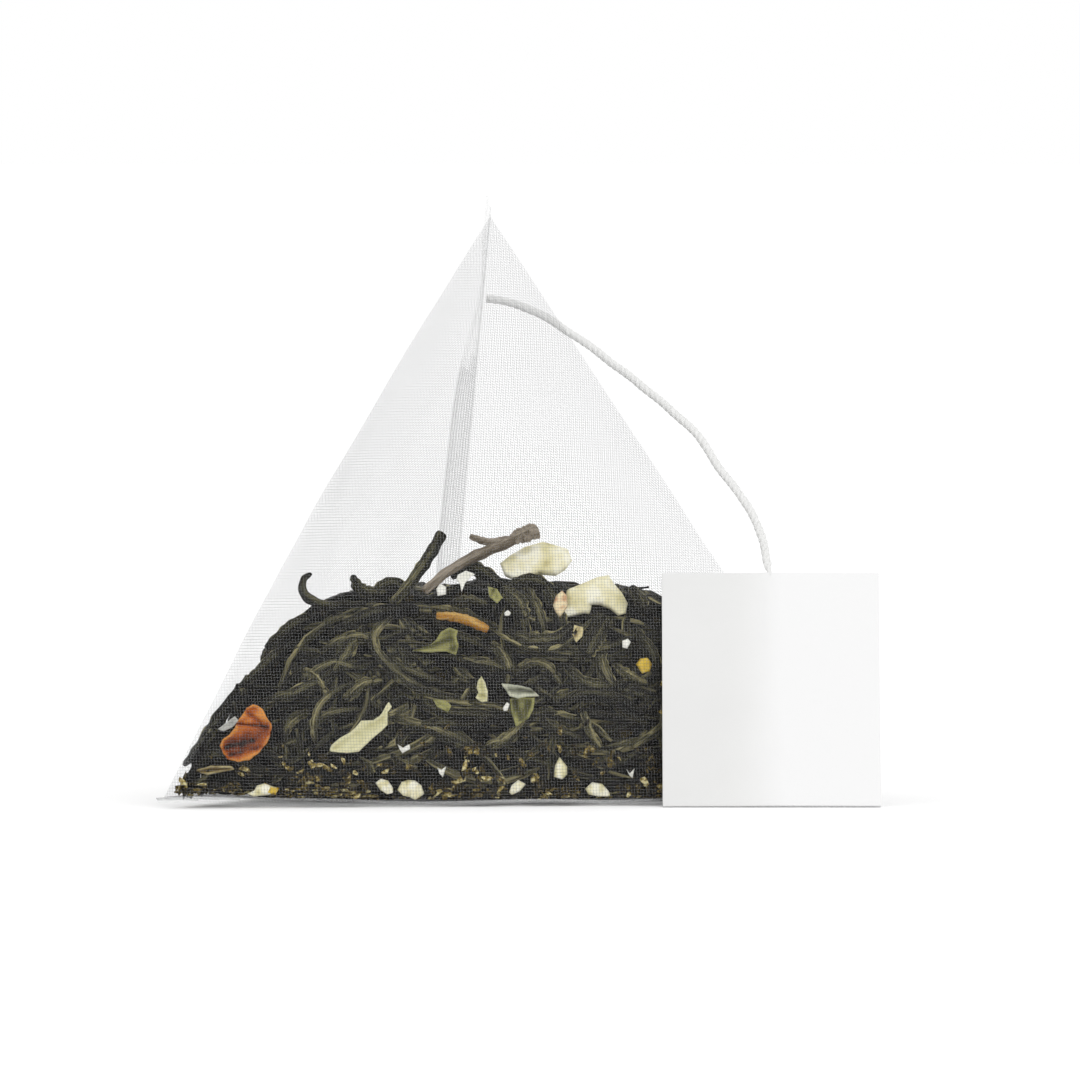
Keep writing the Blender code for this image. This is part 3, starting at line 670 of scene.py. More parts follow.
def model_leaf(name, sides, rings, turns, taper, seed, lumps=0.18):
    """A dry rolled leaf, one unit long and wide: a fluted cylinder, tapered, twisted and bent."""
    draw = random.Random(seed)
    bpy.ops.object.select_all(action="DESELECT")
    bpy.ops.mesh.primitive_cylinder_add(vertices=sides, radius=0.5, depth=1, end_fill_type="TRIFAN",
                                        location=(0, 0, 0.5))
    leaf = bpy.context.object
    leaf.name = name
    bpy.ops.object.transform_apply(location=True)
    bpy.ops.object.mode_set(mode="EDIT")
    bm = bmesh.from_edit_mesh(leaf.data)
    bpy.ops.mesh.select_all(action="DESELECT")
    for edge in bm.edges:
        edge.select = abs(edge.verts[0].co.z - edge.verts[1].co.z) > 0.5
    bmesh.update_edit_mesh(leaf.data)
    bpy.ops.mesh.subdivide(number_cuts=rings)
    bpy.ops.mesh.select_mode(type="VERT")
    # Two grooves where the leaf's edges roll in
    for groove, depth in ((0, 0.45), (sides // 2 + 1, 0.65)):
        bpy.ops.mesh.select_all(action="DESELECT")
        bm = bmesh.from_edit_mesh(leaf.data)
        aim = 2 * math.pi * groove / sides
        for vert in bm.verts:
            angle = math.atan2(vert.co.y, vert.co.x)
            gap = abs((angle - aim + math.pi) % (2 * math.pi) - math.pi)
            vert.select = gap < math.pi / sides and Vector(vert.co.xy).length > 0.1
        bm.select_flush_mode()
        bmesh.update_edit_mesh(leaf.data)
        bpy.ops.transform.resize(value=(depth, depth, 1), center_override=(0, 0, 0.5))
    levels = [k / (rings + 1) for k in range(rings + 2)]
    for level in levels:
        bpy.ops.mesh.select_all(action="DESELECT")
        bm = bmesh.from_edit_mesh(leaf.data)
        for vert in bm.verts:
            vert.select = abs(vert.co.z - level) < 0.25 / (rings + 1)
        bm.select_flush_mode()
        bmesh.update_edit_mesh(leaf.data)
        swell = taper + (1 - taper) * math.sin(math.pi * level) ** 0.6
        swell *= draw.uniform(1.0 - lumps, 1.0 + lumps / 3)
        flat = draw.uniform(0.75, 1.0)
        bpy.ops.transform.resize(value=(swell, swell * flat, 1), center_override=(0, 0, level))
        twist = turns * 2 * math.pi * level + draw.uniform(-0.15, 0.15)
        bpy.ops.transform.rotate(value=twist, orient_axis="Z", center_override=(0, 0, level))
        bpy.ops.transform.translate(value=(draw.uniform(-0.08, 0.08), draw.uniform(-0.08, 0.08), 0))
    bpy.ops.object.mode_set(mode="OBJECT")
    return leaf


def take_shape(obj):
    """Points and faces of a modelled blank, which is then removed."""
    mesh = obj.data
    places = np.array([v.co for v in mesh.vertices])
    faces = [list(p.vertices) for p in mesh.polygons]
    bpy.data.objects.remove(obj, do_unlink=True)
    return places, faces


def wrap_leaf(blank, route, normals, width, thickness):
    """Lays a leaf blank along a route. Returns its points and the grain vector of each point."""
    steps = np.linalg.norm(np.diff(route, axis=0), axis=1)
    run = np.concatenate([[0], np.cumsum(steps)])
    at = blank[:, 2] * run[-1]
    normals = np.broadcast_to(normals, route.shape)
    tangents = unit(np.gradient(route, axis=0))
    sides = unit(np.cross(normals, tangents))
    ups = unit(np.cross(tangents, sides))
    middle, side, up = (np.stack([np.interp(at, run, values[:, k]) for k in range(3)], axis=1)
                        for values in (route, sides, ups))
    places = middle + side * (blank[:, :1] * width) + up * (blank[:, 1:2] * thickness)
    grain = np.stack([blank[:, 0] * width / FIBRE_PITCH, blank[:, 1] * thickness / FIBRE_PITCH,
                      at / FIBRE_LENGTH], axis=1)
    return places, grain


def tone_with_painted_highlight(blank, tone, painted_highlight):
    """A leaf's tone at each point, with a painted highlight: paler along the margin that shows on one side of
    the roll.
    """
    margin = np.clip((blank[:, 0] - 0.12) / 0.25, 0, 1) * (blank[:, 1] > -0.2)
    return np.clip(tone + painted_highlight * margin, 0, 1)


class Heap:
    """Gathers many small pieces of tea into one mesh, each with its own tone."""

    def __init__(self):
        self.places = []
        self.faces = []
        self.grains = []
        self.tones = []
        self.count = 0

    def add(self, places, faces, grain, tone):
        self.places.append(places)
        self.faces += [[k + self.count for k in face] for face in faces]
        self.grains.append(grain)
        self.tones.append(np.broadcast_to(tone, len(places)))
        self.count += len(places)

    def build(self, name, finish):
        made = mesh_object(name, np.vstack(self.places), self.faces, finish)
        made.data.set_sharp_from_angle(angle=math.radians(50))
        point_attribute(made, "grain", "FLOAT_VECTOR", np.vstack(self.grains))
        point_attribute(made, "tone", "FLOAT", np.concatenate(self.tones))
        return made


def bent_line(a, b, angle, length, curl):
    """A bent line of points about a middle point, in two directions."""
    steps = np.linspace(-0.5, 0.5, LINE_POINTS)
    bend = curl * (steps ** 2 - 0.1)
    return (a + length * (steps * math.cos(angle) - bend * math.sin(angle)),
            b + length * (steps * math.sin(angle) + bend * math.cos(angle)), steps)


def tea_line(draw, length, depth, curl, level=None, side_gap=0.0008, front=FRONT_DEPTHS,
             seal_gap=0.0006):
    """A bent line on the sheet, moved in behind one face, or None where it leaves the tea."""
    s = draw.uniform(0, 2 * TUBE_WIDTH)
    t = draw.uniform(0, FACE_HEIGHT)
    angle = draw.gauss(0, 0.7) if level else draw.uniform(0, math.pi)
    run_s, run_t, _ = bent_line(s, t, angle, length, curl)
    if run_t.min() < seal_gap or run_t.max() > FACE_HEIGHT - seal_gap:
        return None
    weights, faces = sheet_weights(run_s, run_t)
    if faces.min() != faces.max():
        return None
    face = int(faces[0])
    insets = np.full((LINE_POINTS, 4), side_gap)
    insets[:, HIDDEN_CORNER[face]] = draw.uniform(*(front if face == FRONT else depth))
    places = skin_points(weights, insets, BAG_WALL + CLEARANCE)
    if np.any(places[:, 2] > heap_height(places[:, 0], places[:, 1]) - CLEARANCE):
        return None
    return places, FACE_NORMALS[face], face


def corner_shares(places):
    """Corner weights of any points in the pyramid."""
    system = np.vstack([CORNERS.T, np.ones(4)])
    return np.linalg.solve(system, np.vstack([np.asarray(places).T, np.ones(len(places))])).T


def top_line(draw, length, rise):
    """A bent line of points that lies on the heap's top."""
    x = draw.uniform(*TOP_SPAN_X)
    y = draw.uniform(*TOP_SPAN_Y)
    angle = draw.uniform(0, math.pi)
    px, py, steps = bent_line(x, y, angle, length, draw.uniform(-0.5, 0.5))
    pz = heap_height(px, py) + draw.uniform(-0.0007, -0.0001) + rise * steps * length
    places = np.stack([px, py, pz], axis=1)
    insets = corner_shares(places).min(axis=0) * PYRAMID_HEIGHT
    if insets[[0, 1, 3]].min() < TOP_SIDE_GAP or insets[2] < TOP_FRONT_GAP:
        return None
    return places


def roll_leaf(draw, blanks, line, normal, width, thickness):
    """A loose leaf along a line: its blank's points, its own points, its faces and its grain."""
    shape, faces = draw.choice(blanks)
    points, grain = wrap_leaf(shape, smooth_route(line, LOOSE_LEAF_RINGS), normal, width, thickness)
    return shape, points, faces, grain


def fill_heap(settings):
    """Leaves behind every face, in the thin left corner and on the top."""
    draw = random.Random(settings.seed)
    blanks = [take_shape(model_leaf("leaf_blank", 6, 5, turns, 0.25, seed))
              for seed, turns in enumerate((0.4, 0.9, 1.5, 0.15))]
    leaves = Heap()
    made = 0
    while made < settings.leaf_count:
        # A third of them are short enough to fill the corners
        short = made % 3 == 0
        length = draw.uniform(*(SHORT_LEAF if short else LONG_LEAF))
        line = tea_line(draw, length, LEAF_DEPTHS, draw.uniform(-1.0, 1.0),
                        level=draw.random() < 0.6, side_gap=0.0006 if short else 0.0008)
        if line is None:
            continue
        places, normal, _ = line
        low = places[:, 2].mean() < LOW_BAND
        width = draw.uniform(*LEAF_WIDTHS) * (0.75 if low else 1)
        thickness = min(width, MOST_LEAF_THICKNESS)
        shape, points, faces, grain = roll_leaf(draw, blanks, places, normal, width, thickness)
        points[:, 2] = np.maximum(points[:, 2], BAG_WALL + CLEARANCE)
        tone = draw.uniform(0.2, 0.5) if draw.random() < 0.65 else draw.uniform(0.5, 0.75)
        grain = grain + draw.uniform(0, 50)
        leaves.add(points, faces, grain, tone_with_painted_highlight(shape, tone, draw.uniform(0.05, 0.45)))
        made += 1
    made = 0
    while made < settings.corner_count:
        line = tea_line(draw, draw.uniform(*CORNER_LEAF), CORNER_DEPTHS, draw.uniform(-0.8, 0.8),
                        side_gap=0.0005, front=CORNER_FRONT_DEPTHS, seal_gap=0.0004)
        if line is None:
            continue
        places, normal, _ = line
        if places[:, 0].max() > CORNER_REACH_X or covered(places.mean(axis=0), 0.3):
            continue
        width = draw.uniform(*CORNER_LEAF_WIDTHS)
        shape, points, faces, grain = roll_leaf(draw, blanks, places, normal, width, width * 0.7)
        points[:, 2] = np.maximum(points[:, 2], BAG_WALL + CLEARANCE)
        grain = grain + draw.uniform(0, 50)
        leaves.add(points, faces, grain, tone_with_painted_highlight(shape, draw.uniform(0.1, 0.5), 0.2))
        made += 1
    made = 0
    while made < settings.top_count:
        places = top_line(draw, draw.uniform(*TOP_LEAF), draw.uniform(-0.10, 0.10))
        if places is None:
            continue
        width = draw.uniform(*TOP_LEAF_WIDTHS)
        shape, points, faces, grain = roll_leaf(draw, blanks, places, (0, 0, 1), width, width * 0.8)
        tone = draw.uniform(0.15, 0.65)
        grain = grain + draw.uniform(0, 50)
        leaves.add(points, faces, grain, tone_with_painted_highlight(shape, tone, draw.uniform(0.05, 0.35)))
        made += 1
    return leaves


def model_crumb(seed):
    """A broken flake of leaf: a small ball squeezed flat with its corners moved."""
    bpy.ops.object.select_all(action="DESELECT")
    bpy.ops.mesh.primitive_ico_sphere_add(subdivisions=1, radius=0.5)
    crumb = bpy.context.object
    bpy.ops.object.mode_set(mode="EDIT")
    bpy.ops.mesh.select_all(action="SELECT")
    bpy.ops.transform.vertex_random(offset=0.22, uniform=0.6, seed=seed)
    bpy.ops.transform.resize(value=(1.5, 0.75, 0.45))
    bpy.ops.object.mode_set(mode="OBJECT")
    return take_shape(crumb)


def scatter_crumbs(settings):
    """Crumbs that have sifted down against the mesh, with paler bits among them."""
    draw = random.Random(settings.seed + 1)
    blanks = [model_crumb(seed + 1) for seed in range(6)]
    crumbs = Heap()
    made = 0
    while made < settings.crumb_count:
        line = tea_line(draw, 0.0003, CRUMB_DEPTHS, 0.0, side_gap=0.00015, front=CRUMB_FRONT_DEPTHS,
                        seal_gap=0.0002)
        if line is None:
            continue
        places, _, face = line
        centre = places.mean(axis=0)
        share = math.exp(-(centre[2] / CRUMB_REACH) ** 2) + CRUMB_STRAY_SHARE
        if face != BASE and draw.random() > share:
            continue
        if corner_shares([centre])[0, 2] * PYRAMID_HEIGHT < PETAL_BAND and covered(centre, 1.0):
            continue
        size = draw.uniform(*CRUMB_SIZES)
        shape, faces = draw.choice(blanks)
        turn = np.array(Matrix.Rotation(draw.uniform(0, 6.28), 3, Vector(FACE_NORMALS[face])))
        tilt = np.array(Vector((0, 0, 1)).rotation_difference(Vector(FACE_NORMALS[face])).to_matrix())
        points = centre + (shape * size) @ tilt.T @ turn.T
        points[:, 2] = np.maximum(points[:, 2], BAG_WALL + 0.0001)
        # The left side holds more of the pale flecks
        dark = 0.45 if centre[0] < -0.008 else 0.68
        tone = draw.uniform(0.1, 0.5) if draw.random() < dark else draw.uniform(0.45, 0.92)
        crumbs.add(points, faces, shape * 6 + draw.uniform(0, 50), tone)
        made += 1
    return crumbs


def covered(place, margin):
    """True where a petal or a chip shows in front of this place."""
    across, up = place[0] / PLACE_UNIT, place[2] / PLACE_UNIT
    for outline in [petal[0] for petal in PETALS.values()] + [chip[0] for chip in CHIPS.values()]:
        corners = np.array(outline)
        low, high = corners.min(axis=0) - margin, corners.max(axis=0) + margin
        if low[0] < across < high[0] and low[1] < up < high[1]:
            return True
    return False


DARK_LEAVES = {
    # name: places along it, layer, width, tone
    "hooked_leaf": ([(-25.3, 32.7), (-26.6, 31.4), (-26.0, 29.6), (-23.6, 28.1), (-20.4, 28.2),
                     (-17.4, 28.6)], 0, 0.0011, 0.42),
    "spiky_leaf": ([(-19.5, 32.3), (-18.4, 30.4), (-16.4, 29.7), (-14.4, 29.9)], 1, 0.0014, 0.38),
    "straight_stem": ([(-13.6, 28.4), (-11.6, 30.8), (-9.2, 34.0), (-6.8, 38.3)], 0, 0.0013, 0.50),
    "dark_spike": ([(19.8, 30.6), (20.9, 29.0), (22.2, 27.0)], 0, 0.0015, 0.40),
    "broad_leaf": ([(-17.5, 25.3), (-19.5, 22.8), (-21.6, 19.7), (-23.6, 16.6)], 1, 0.0017, 0.50),
    "curved_leaf": ([(-13.9, 26.7), (-16.2, 24.7), (-16.3, 22.2), (-13.9, 19.1), (-11.0, 16.9),
                     (-7.6, 15.7), (-4.6, 15.2)], 0, 0.0013, 0.60),
    "inner_leaf": ([(-15.0, 21.4), (-12.2, 19.2), (-8.5, 17.6), (-4.4, 16.8)], 1, 0.0012, 0.45),
    "middle_leaf": ([(-11.5, 21.8), (-8.0, 21.2), (-4.2, 20.2), (-0.8, 18.4), (0.8, 15.8)], 1, 0.0014, 0.25),
    "arc_leaf": ([(-24.2, 8.8), (-24.7, 11.2), (-23.9, 13.9), (-21.8, 16.0), (-18.9, 17.3)],
                 0, 0.0010, 0.58),
    "bell_leaf": ([(-25.2, 13.4), (-27.2, 12.6), (-28.6, 11.3), (-28.8, 9.2)], 1, 0.0012, 0.52),
    "wavy_leaf": ([(2.2, 24.4), (4.4, 23.3), (7.2, 22.9), (9.9, 23.5), (12.4, 25.4)], 0, 0.0021, 0.45),
    "ridged_leaf": ([(1.4, 30.2), (3.7, 28.7), (5.1, 26.2)], 0, 0.0019, 0.50),
    "leaf_stub": ([(16.4, 26.5), (15.0, 23.9), (13.6, 21.2)], 0, 0.0022, 0.42),
    "right_leaf": ([(17.3, 19.9), (19.5, 18.1), (22.4, 16.8)], 1, 0.0012, 0.60),
    "arch_leaf": ([(3.7, 18.6), (5.9, 19.8), (8.2, 19.1), (10.0, 16.8)], 1, 0.0014, 0.55),
    "thin_stem": ([(13.1, 13.1), (14.1, 10.3), (15.6, 8.1)], 0, 0.0009, 0.62),
    "olive_leaf": ([(-1.7, 7.9), (2.3, 9.3), (4.8, 11.7), (6.1, 14.4)], 1, 0.0013, 0.62),
    "low_leaf": ([(-14.0, 7.2), (-12.4, 5.9), (-10.2, 5.2)], 1, 0.0011, 0.50),
    "curl_stem": ([(-18.6, 6.6), (-17.2, 6.0), (-16.4, 4.6)], 1, 0.0008, 0.60),
    "long_leaf": ([(-12.2, 10.3), (-8.0, 11.4), (-3.0, 11.2), (1.2, 12.2)], 1, 0.0015, 0.35),
    "left_leaf": ([(-35.0, 16.6), (-32.8, 18.6), (-30.0, 21.2), (-27.2, 23.2)], 0, 0.0013, 0.30),
    "low_right_leaf": ([(9.9, 14.0), (13.5, 15.6), (18.0, 14.6), (22.0, 12.6)], 1, 0.0016, 0.35),
    "top_leaf": ([(-5.7, 28.3), (-2.8, 28.7), (-0.2, 28.1)], 0, 0.0012, 0.40),
}
# Leaves that lie among them and have no solid of their own
MORE_LEAVES = (
    ([(2.5, 30.4), (3.7, 27.9), (4.8, 24.5), (5.7, 22.5)], 1, 0.0016, 0.45),
    ([(4.8, 31.2), (6.2, 28.1), (7.4, 24.7), (7.9, 22.8)], 1, 0.0015, 0.50),
    ([(7.4, 31.0), (8.8, 28.4), (9.9, 25.6), (10.2, 23.3)], 1, 0.0017, 0.42),
    ([(0.6, 24.5), (3.1, 23.0), (5.7, 22.2), (8.8, 21.9), (10.7, 22.8), (12.4, 24.2), (14.4, 26.2)],
     0, 0.0007, 0.85),
    ([(-7.1, 20.9), (-3.4, 20.2), (0.0, 19.7), (4.2, 18.5), (8.2, 20.2)], 1, 0.0013, 0.50),
    ([(-0.6, 23.0), (1.4, 21.4), (2.5, 19.1), (2.3, 16.8)], 1, 0.0014, 0.55),
    ([(16.1, 23.0), (15.6, 20.2), (16.7, 17.4), (18.7, 16.0)], 1, 0.0016, 0.55),
    ([(-43.0, 5.8), (-40.2, 9.2), (-37.3, 13.7), (-34.5, 17.4)], 1, 0.0014, 0.30),
    ([(-11.0, 14.6), (-5.7, 12.9), (0.0, 12.3), (5.7, 10.6)], 1, 0.0017, 0.40),
    ([(-13.9, 12.3), (-8.5, 10.9), (-2.8, 8.3), (1.4, 7.2)], 1, 0.0014, 0.60),
    ([(-32.2, 14.6), (-26.9, 16.0), (-22.6, 18.5), (-19.5, 21.6)], 1, 0.0015, 0.45),
    ([(-26.8, 19.0), (-24.6, 18.0), (-22.9, 15.2)], 1, 0.0012, 0.62),
    ([(-31.5, 22.0), (-28.0, 25.0), (-24.0, 27.0)], 1, 0.0015, 0.30),
    ([(-22.0, 24.5), (-16.0, 27.0), (-10.0, 27.6)], 1, 0.0017, 0.30),
    ([(-20.5, 14.5), (-18.0, 16.8), (-15.0, 17.6)], 1, 0.0015, 0.58),
    ([(10.5, 19.5), (13.0, 17.2), (16.0, 16.4), (19.5, 17.4)], 1, 0.0018, 0.45),
    ([(6.5, 13.0), (9.5, 10.5), (13.5, 9.0)], 1, 0.0014, 0.40),
    ([(-8.0, 24.8), (-3.0, 22.9), (1.0, 21.2)], 1, 0.0015, 0.35),
    ([(20.0, 25.0), (22.5, 21.5), (24.0, 18.0)], 1, 0.0016, 0.40),
    ([(-5.4, 31.8), (-3.6, 33.2), (-1.4, 32.8), (1.0, 31.2), (3.4, 29.6)], 1, 0.0016, 0.32),
    ([(2.2, 29.8), (4.6, 31.2), (7.2, 31.0), (9.2, 29.4)], 1, 0.0017, 0.34),
    ([(-17.5, 28.4), (-15.2, 30.6), (-13.2, 31.0), (-11.4, 29.4)], 1, 0.0015, 0.34),
    ([(-24.0, 21.6), (-19.8, 23.6), (-15.4, 23.2), (-11.2, 24.6)], 1, 0.0013, 0.55),
    ([(-27.0, 17.2), (-22.4, 19.8), (-18.6, 19.2), (-15.2, 20.4)], 1, 0.0012, 0.52),
    ([(-4.0, 14.2), (0.4, 13.8), (4.6, 12.4), (8.4, 12.6), (12.6, 11.2)], 1, 0.0013, 0.54),
    ([(-26.4, 10.8), (-22.6, 12.8), (-18.2, 13.6)], 1, 0.0012, 0.50),
    ([(9.4, 22.4), (12.8, 21.4), (16.4, 21.8), (20.4, 23.4)], 1, 0.0013, 0.52),
)
FORK_MAIN = [(-9.4, 30.0), (-8.2, 31.0), (-6.2, 32.6), (-3.9, 34.0), (-1.2, 35.3), (1.2, 36.3), (3.2, 37.2),
             (5.6, 38.3)]
FORK_PRONG = [(-2.9, 37.7), (-1.2, 37.1), (0.8, 36.9), (3.0, 37.4)]
FORK_KNOT = [(3.2, 37.2), (5.0, 38.0), (6.9, 38.4)]
ORANGE_STEM = [(-7.6, 26.6), (-4.0, 26.3), (-2.0, 25.4), (-0.2, 24.7)]


def lay_leaf(name, places, layer, width, tone, blank, finish):
    """One leaf that can be told apart in the front view."""
    across, up = np.array(places).T
    route = front_places(across, up, layer_depth(layer))
    heap = Heap()
    shape, faces = blank
    points, grain = wrap_leaf(shape, smooth_route(route, FRONT_LEAF_RINGS), FACE_NORMALS[FRONT],
                              width * 1.15, min(width, LEAF_THICKNESS * 1.4))
    heap.add(points, faces, grain, tone_with_painted_highlight(shape, tone, 0.34))
    leaf = heap.build(name, finish)
    round_it = leaf.modifiers.new("round", "SUBSURF")
    round_it.levels = round_it.render_levels = 1
    apply_modifiers(leaf)
    return leaf


# Petals and fruit

PETALS = {
    # name: outline, relief height, folds, fold direction, creases as two ends, depth and width, finish
    "orange_petal": ([(-32.6, 14.2), (-32.0, 13.8), (-31.4, 12.7), (-30.7, 11.5), (-30.9, 10.1), (-31.4, 9.0),
                      (-32.6, 7.6), (-33.8, 6.7), (-35.4, 6.5), (-36.8, 6.9), (-37.5, 7.8), (-37.9, 8.7),
                      (-37.6, 9.4), (-36.6, 10.1), (-35.8, 11.1), (-35.6, 12.0), (-34.7, 13.0), (-34.2, 13.9),
                      (-33.3, 14.4)], 0.0010, 1.6, 0.5,
                     [((-37.2, 8.3), (-33.4, 9.3), 0.80, 0.28), ((-35.6, 11.7), (-31.2, 11.2), 0.50, 0.26),
                      ((-34.6, 13.6), (-32.2, 11.8), 0.45, 0.40), ((-36.6, 7.2), (-32.0, 8.4), 0.30, 0.30)],
                     "orange"),
    "cream_petal": ([(-14.2, 14.7), (-13.8, 14.0), (-14.4, 13.2), (-14.4, 12.2), (-14.4, 11.5), (-15.2, 10.7),
                     (-16.4, 9.7), (-17.6, 8.6), (-18.4, 7.8), (-20.2, 7.6), (-22.5, 7.9), (-22.2, 8.7),
                     (-21.1, 9.7), (-19.7, 10.4), (-18.8, 11.2), (-18.1, 12.1), (-16.4, 12.1), (-15.5, 12.7),
                     (-15.0, 13.4), (-14.6, 14.2)], 0.0005, 0.5, 0.8,
                    [((-21.8, 8.3), (-14.6, 12.6), 0.20, 0.5)], "cream"),
    "tan_leaf": ([(-10.9, 21.8), (-8.6, 22.5), (-7.6, 23.2), (-6.9, 24.4), (-5.7, 25.0), (-4.5, 24.6),
                  (-4.8, 23.6), (-4.4, 22.5), (-4.8, 21.2), (-6.2, 21.7), (-8.5, 21.6)], 0.0006, 2.6, 0.4,
                 [((-10.4, 21.9), (-5.2, 23.4), 0.5, 0.4)], "olive"),
    "grey_petal": ([(1.7, 17.1), (3.1, 17.0), (4.5, 16.8), (5.7, 16.5), (6.9, 15.4), (5.7, 15.4), (4.0, 15.1),
                    (2.8, 15.4), (2.3, 16.3)], 0.0006, 2.2, -0.3,
                   [((2.4, 16.2), (6.2, 16.0), 0.4, 0.3)], "grey"),
    "cream_sliver": ([(-1.2, 18.2), (-0.7, 17.4), (-0.3, 16.0), (-0.4, 14.7), (-1.1, 14.6), (-2.0, 15.2),
                      (-1.6, 15.9), (-1.8, 16.6), (-1.7, 17.5)], 0.0004, 0.6, 1.5,
                     [((-1.9, 15.7), (-0.5, 15.4), 0.4, 0.25)], "cream"),
    "white_wedge": ([(-4.5, 32.4), (-3.4, 32.9), (-2.1, 32.4), (-2.8, 32.0), (-3.5, 31.2), (-4.0, 30.0),
                     (-4.2, 31.0), (-4.7, 31.8)], 0.0003, 0.5, 0.2, [], "white"),
    "petal_flap": ([(-38.2, 11.0), (-36.9, 11.9), (-35.8, 12.8), (-35.3, 12.2), (-36.1, 11.3), (-37.4, 10.7)],
                   0.0004, 0.8, 0.5, [], "haze"),
    "grey_stalk": ([(2.9, 15.0), (4.5, 15.3), (6.3, 15.1), (6.1, 13.7), (5.4, 12.3), (3.7, 11.2),
                    (3.1, 12.9)], 0.0006, 2.4, 1.4, [((3.6, 14.6), (4.4, 12.0), 0.5, 0.4)], "olive"),
    "olive_bit": ([(-8.1, 15.1), (-6.2, 14.8), (-5.4, 14.1), (-5.9, 13.2), (-7.4, 14.0)],
                  0.0004, 1.0, 0.3, [], "olive"),
    "green_bit": ([(-0.3, 30.7), (1.0, 30.3), (1.8, 29.1), (1.0, 28.4), (-0.1, 29.3)],
                  0.0004, 1.0, 0.9, [], "olive"),
    "ochre_bit": ([(11.9, 25.3), (13.2, 24.9), (13.0, 23.6), (12.2, 22.9), (11.6, 23.9)],
                  0.0004, 1.0, 0.9, [], "tan"),
    "tan_curl": ([(-41.4, 5.2), (-39.2, 5.9), (-36.4, 5.8), (-35.9, 5.4), (-37.6, 5.1), (-39.6, 4.7)],
                 0.0005, 1.2, 0.1, [((-41.0, 5.1), (-36.4, 5.5), 0.4, 0.22)], "tan"),
}
# The dark low stops also colour the painted shade in the petals' creases and deep folds
PETAL_TONES = {
    "orange": [(0.30, "#240C03"), (0.50, "#6E2E05"), (0.75, "#AF560B"), (1.05, "#D88F3C")],
    "olive": [(0.2, "#24230F"), (0.6, "#56552A"), (0.95, "#9C9A5C")],
    "haze": [(0.2, "#6E6E6A"), (0.95, "#BDBDB6")],
    "cream": [(0.1, "#7E7A4A"), (0.5, "#B9B47E"), (0.9, "#DFDBB2")],
    "tan": [(0.2, "#3A2E18"), (0.55, "#7D6A3C"), (0.95, "#D2C592")],
    "grey": [(0.2, "#3B3C30"), (0.6, "#7E806C"), (0.95, "#C9CAB4")],
    "white": [(0.1, "#CFCDBE"), (0.8, "#F4F3EA")],
    "fruit": [(0.2, "#A4965A"), (0.5, "#DCD4A2"), (0.8, "#EEE8C4"), (1.0, "#FAF7E2")],
    "bud": [(0.2, "#6B5518"), (0.55, "#A8861F"), (0.9, "#D9B944")],
    "rosy": [(0.2, "#8A5A3C"), (0.55, "#C79A72"), (0.9, "#EAD9B0")],
}


def outline_grid(outline, cuts):
    """Points inside a drawn outline, their triangles, and how far each point is from the outline."""
    blank = mesh_object("outline", [(a, b, 0) for a, b in outline], [list(range(len(outline)))], None)
    select_only(blank)
    bpy.ops.object.mode_set(mode="EDIT")
    bpy.ops.mesh.select_all(action="SELECT")
    bpy.ops.mesh.quads_convert_to_tris(quad_method="BEAUTY", ngon_method="BEAUTY")
    bpy.ops.mesh.subdivide(number_cuts=cuts)
    bpy.ops.object.mode_set(mode="OBJECT")
    places, faces = take_shape(blank)
    places = places[:, :2]
    corners = np.array(outline)
    edge = np.full(len(places), np.inf)
    for first, second in zip(corners, np.roll(corners, -1, axis=0)):
        edge = np.minimum(edge, line_gap(places, first, second))
    return places, faces, edge


def line_gap(places, first, second):
    """Distance from each point to a line between two ends."""
    run = np.asarray(second) - first
    share = np.clip((places - first) @ run / (run @ run), 0, 1)
    return np.linalg.norm(places - first - share[:, None] * run, axis=1)


def field(places, scale, seed, stretch=1.0):
    """Smooth noise at each point, drawn out along the first direction."""
    return np.array([noise.noise(Vector((a * scale / stretch, b * scale, seed * 1.7)))
                     for a, b in places])


def lay_petal(name, outline, height, folds, direction, creases, finish, seed):
    """A thin crumpled petal with a drawn outline: creased, folded, and given a wall."""
    flat, faces, edge = outline_grid(outline, 9)
    middle = flat.mean(axis=0)
    size = np.abs(flat - middle).max()
    cosine, sine = math.cos(direction), math.sin(direction)
    turn = np.array([[cosine, -sine], [sine, cosine]])
    local = (flat - middle) @ turn / size
    # Broad folds, then crumples, creases and a turned-up edge
    relief = 0.55 + 0.22 * np.sin(local[:, 1] * folds * math.pi + seed)
    relief += 0.32 * field(local, 1.6, seed, 2.0) + 0.24 * field(local, 5.0, seed + 3, 2.0)
    for first, second, depth, width in creases:
        relief -= depth * np.exp(-(line_gap(flat, first, second) / width) ** 2)
    relief += 0.35 * np.exp(-(edge / 0.30) ** 2)
    ragged = 0.10 * field(flat, 1.3, seed + 9)[:, None] * np.exp(-(edge / 0.3) ** 2)[:, None]
    flat = flat + (flat - middle) / size * ragged
    relief = np.clip(relief, 0, 1)
    near = BAG_WALL + CLEARANCE
    places = front_places(flat[:, 0], flat[:, 1], near + height * (1 - relief))
    petal = mesh_object(name, places, faces, finish)
    # The relief also colours the petal: painted shade in its creases and deep folds, painted highlight on its
    # turned-up edge
    point_attribute(petal, "relief", "FLOAT", relief * 0.75)
    give_wall(petal, PETAL_WALL)
    apply_modifiers(petal)
    return petal


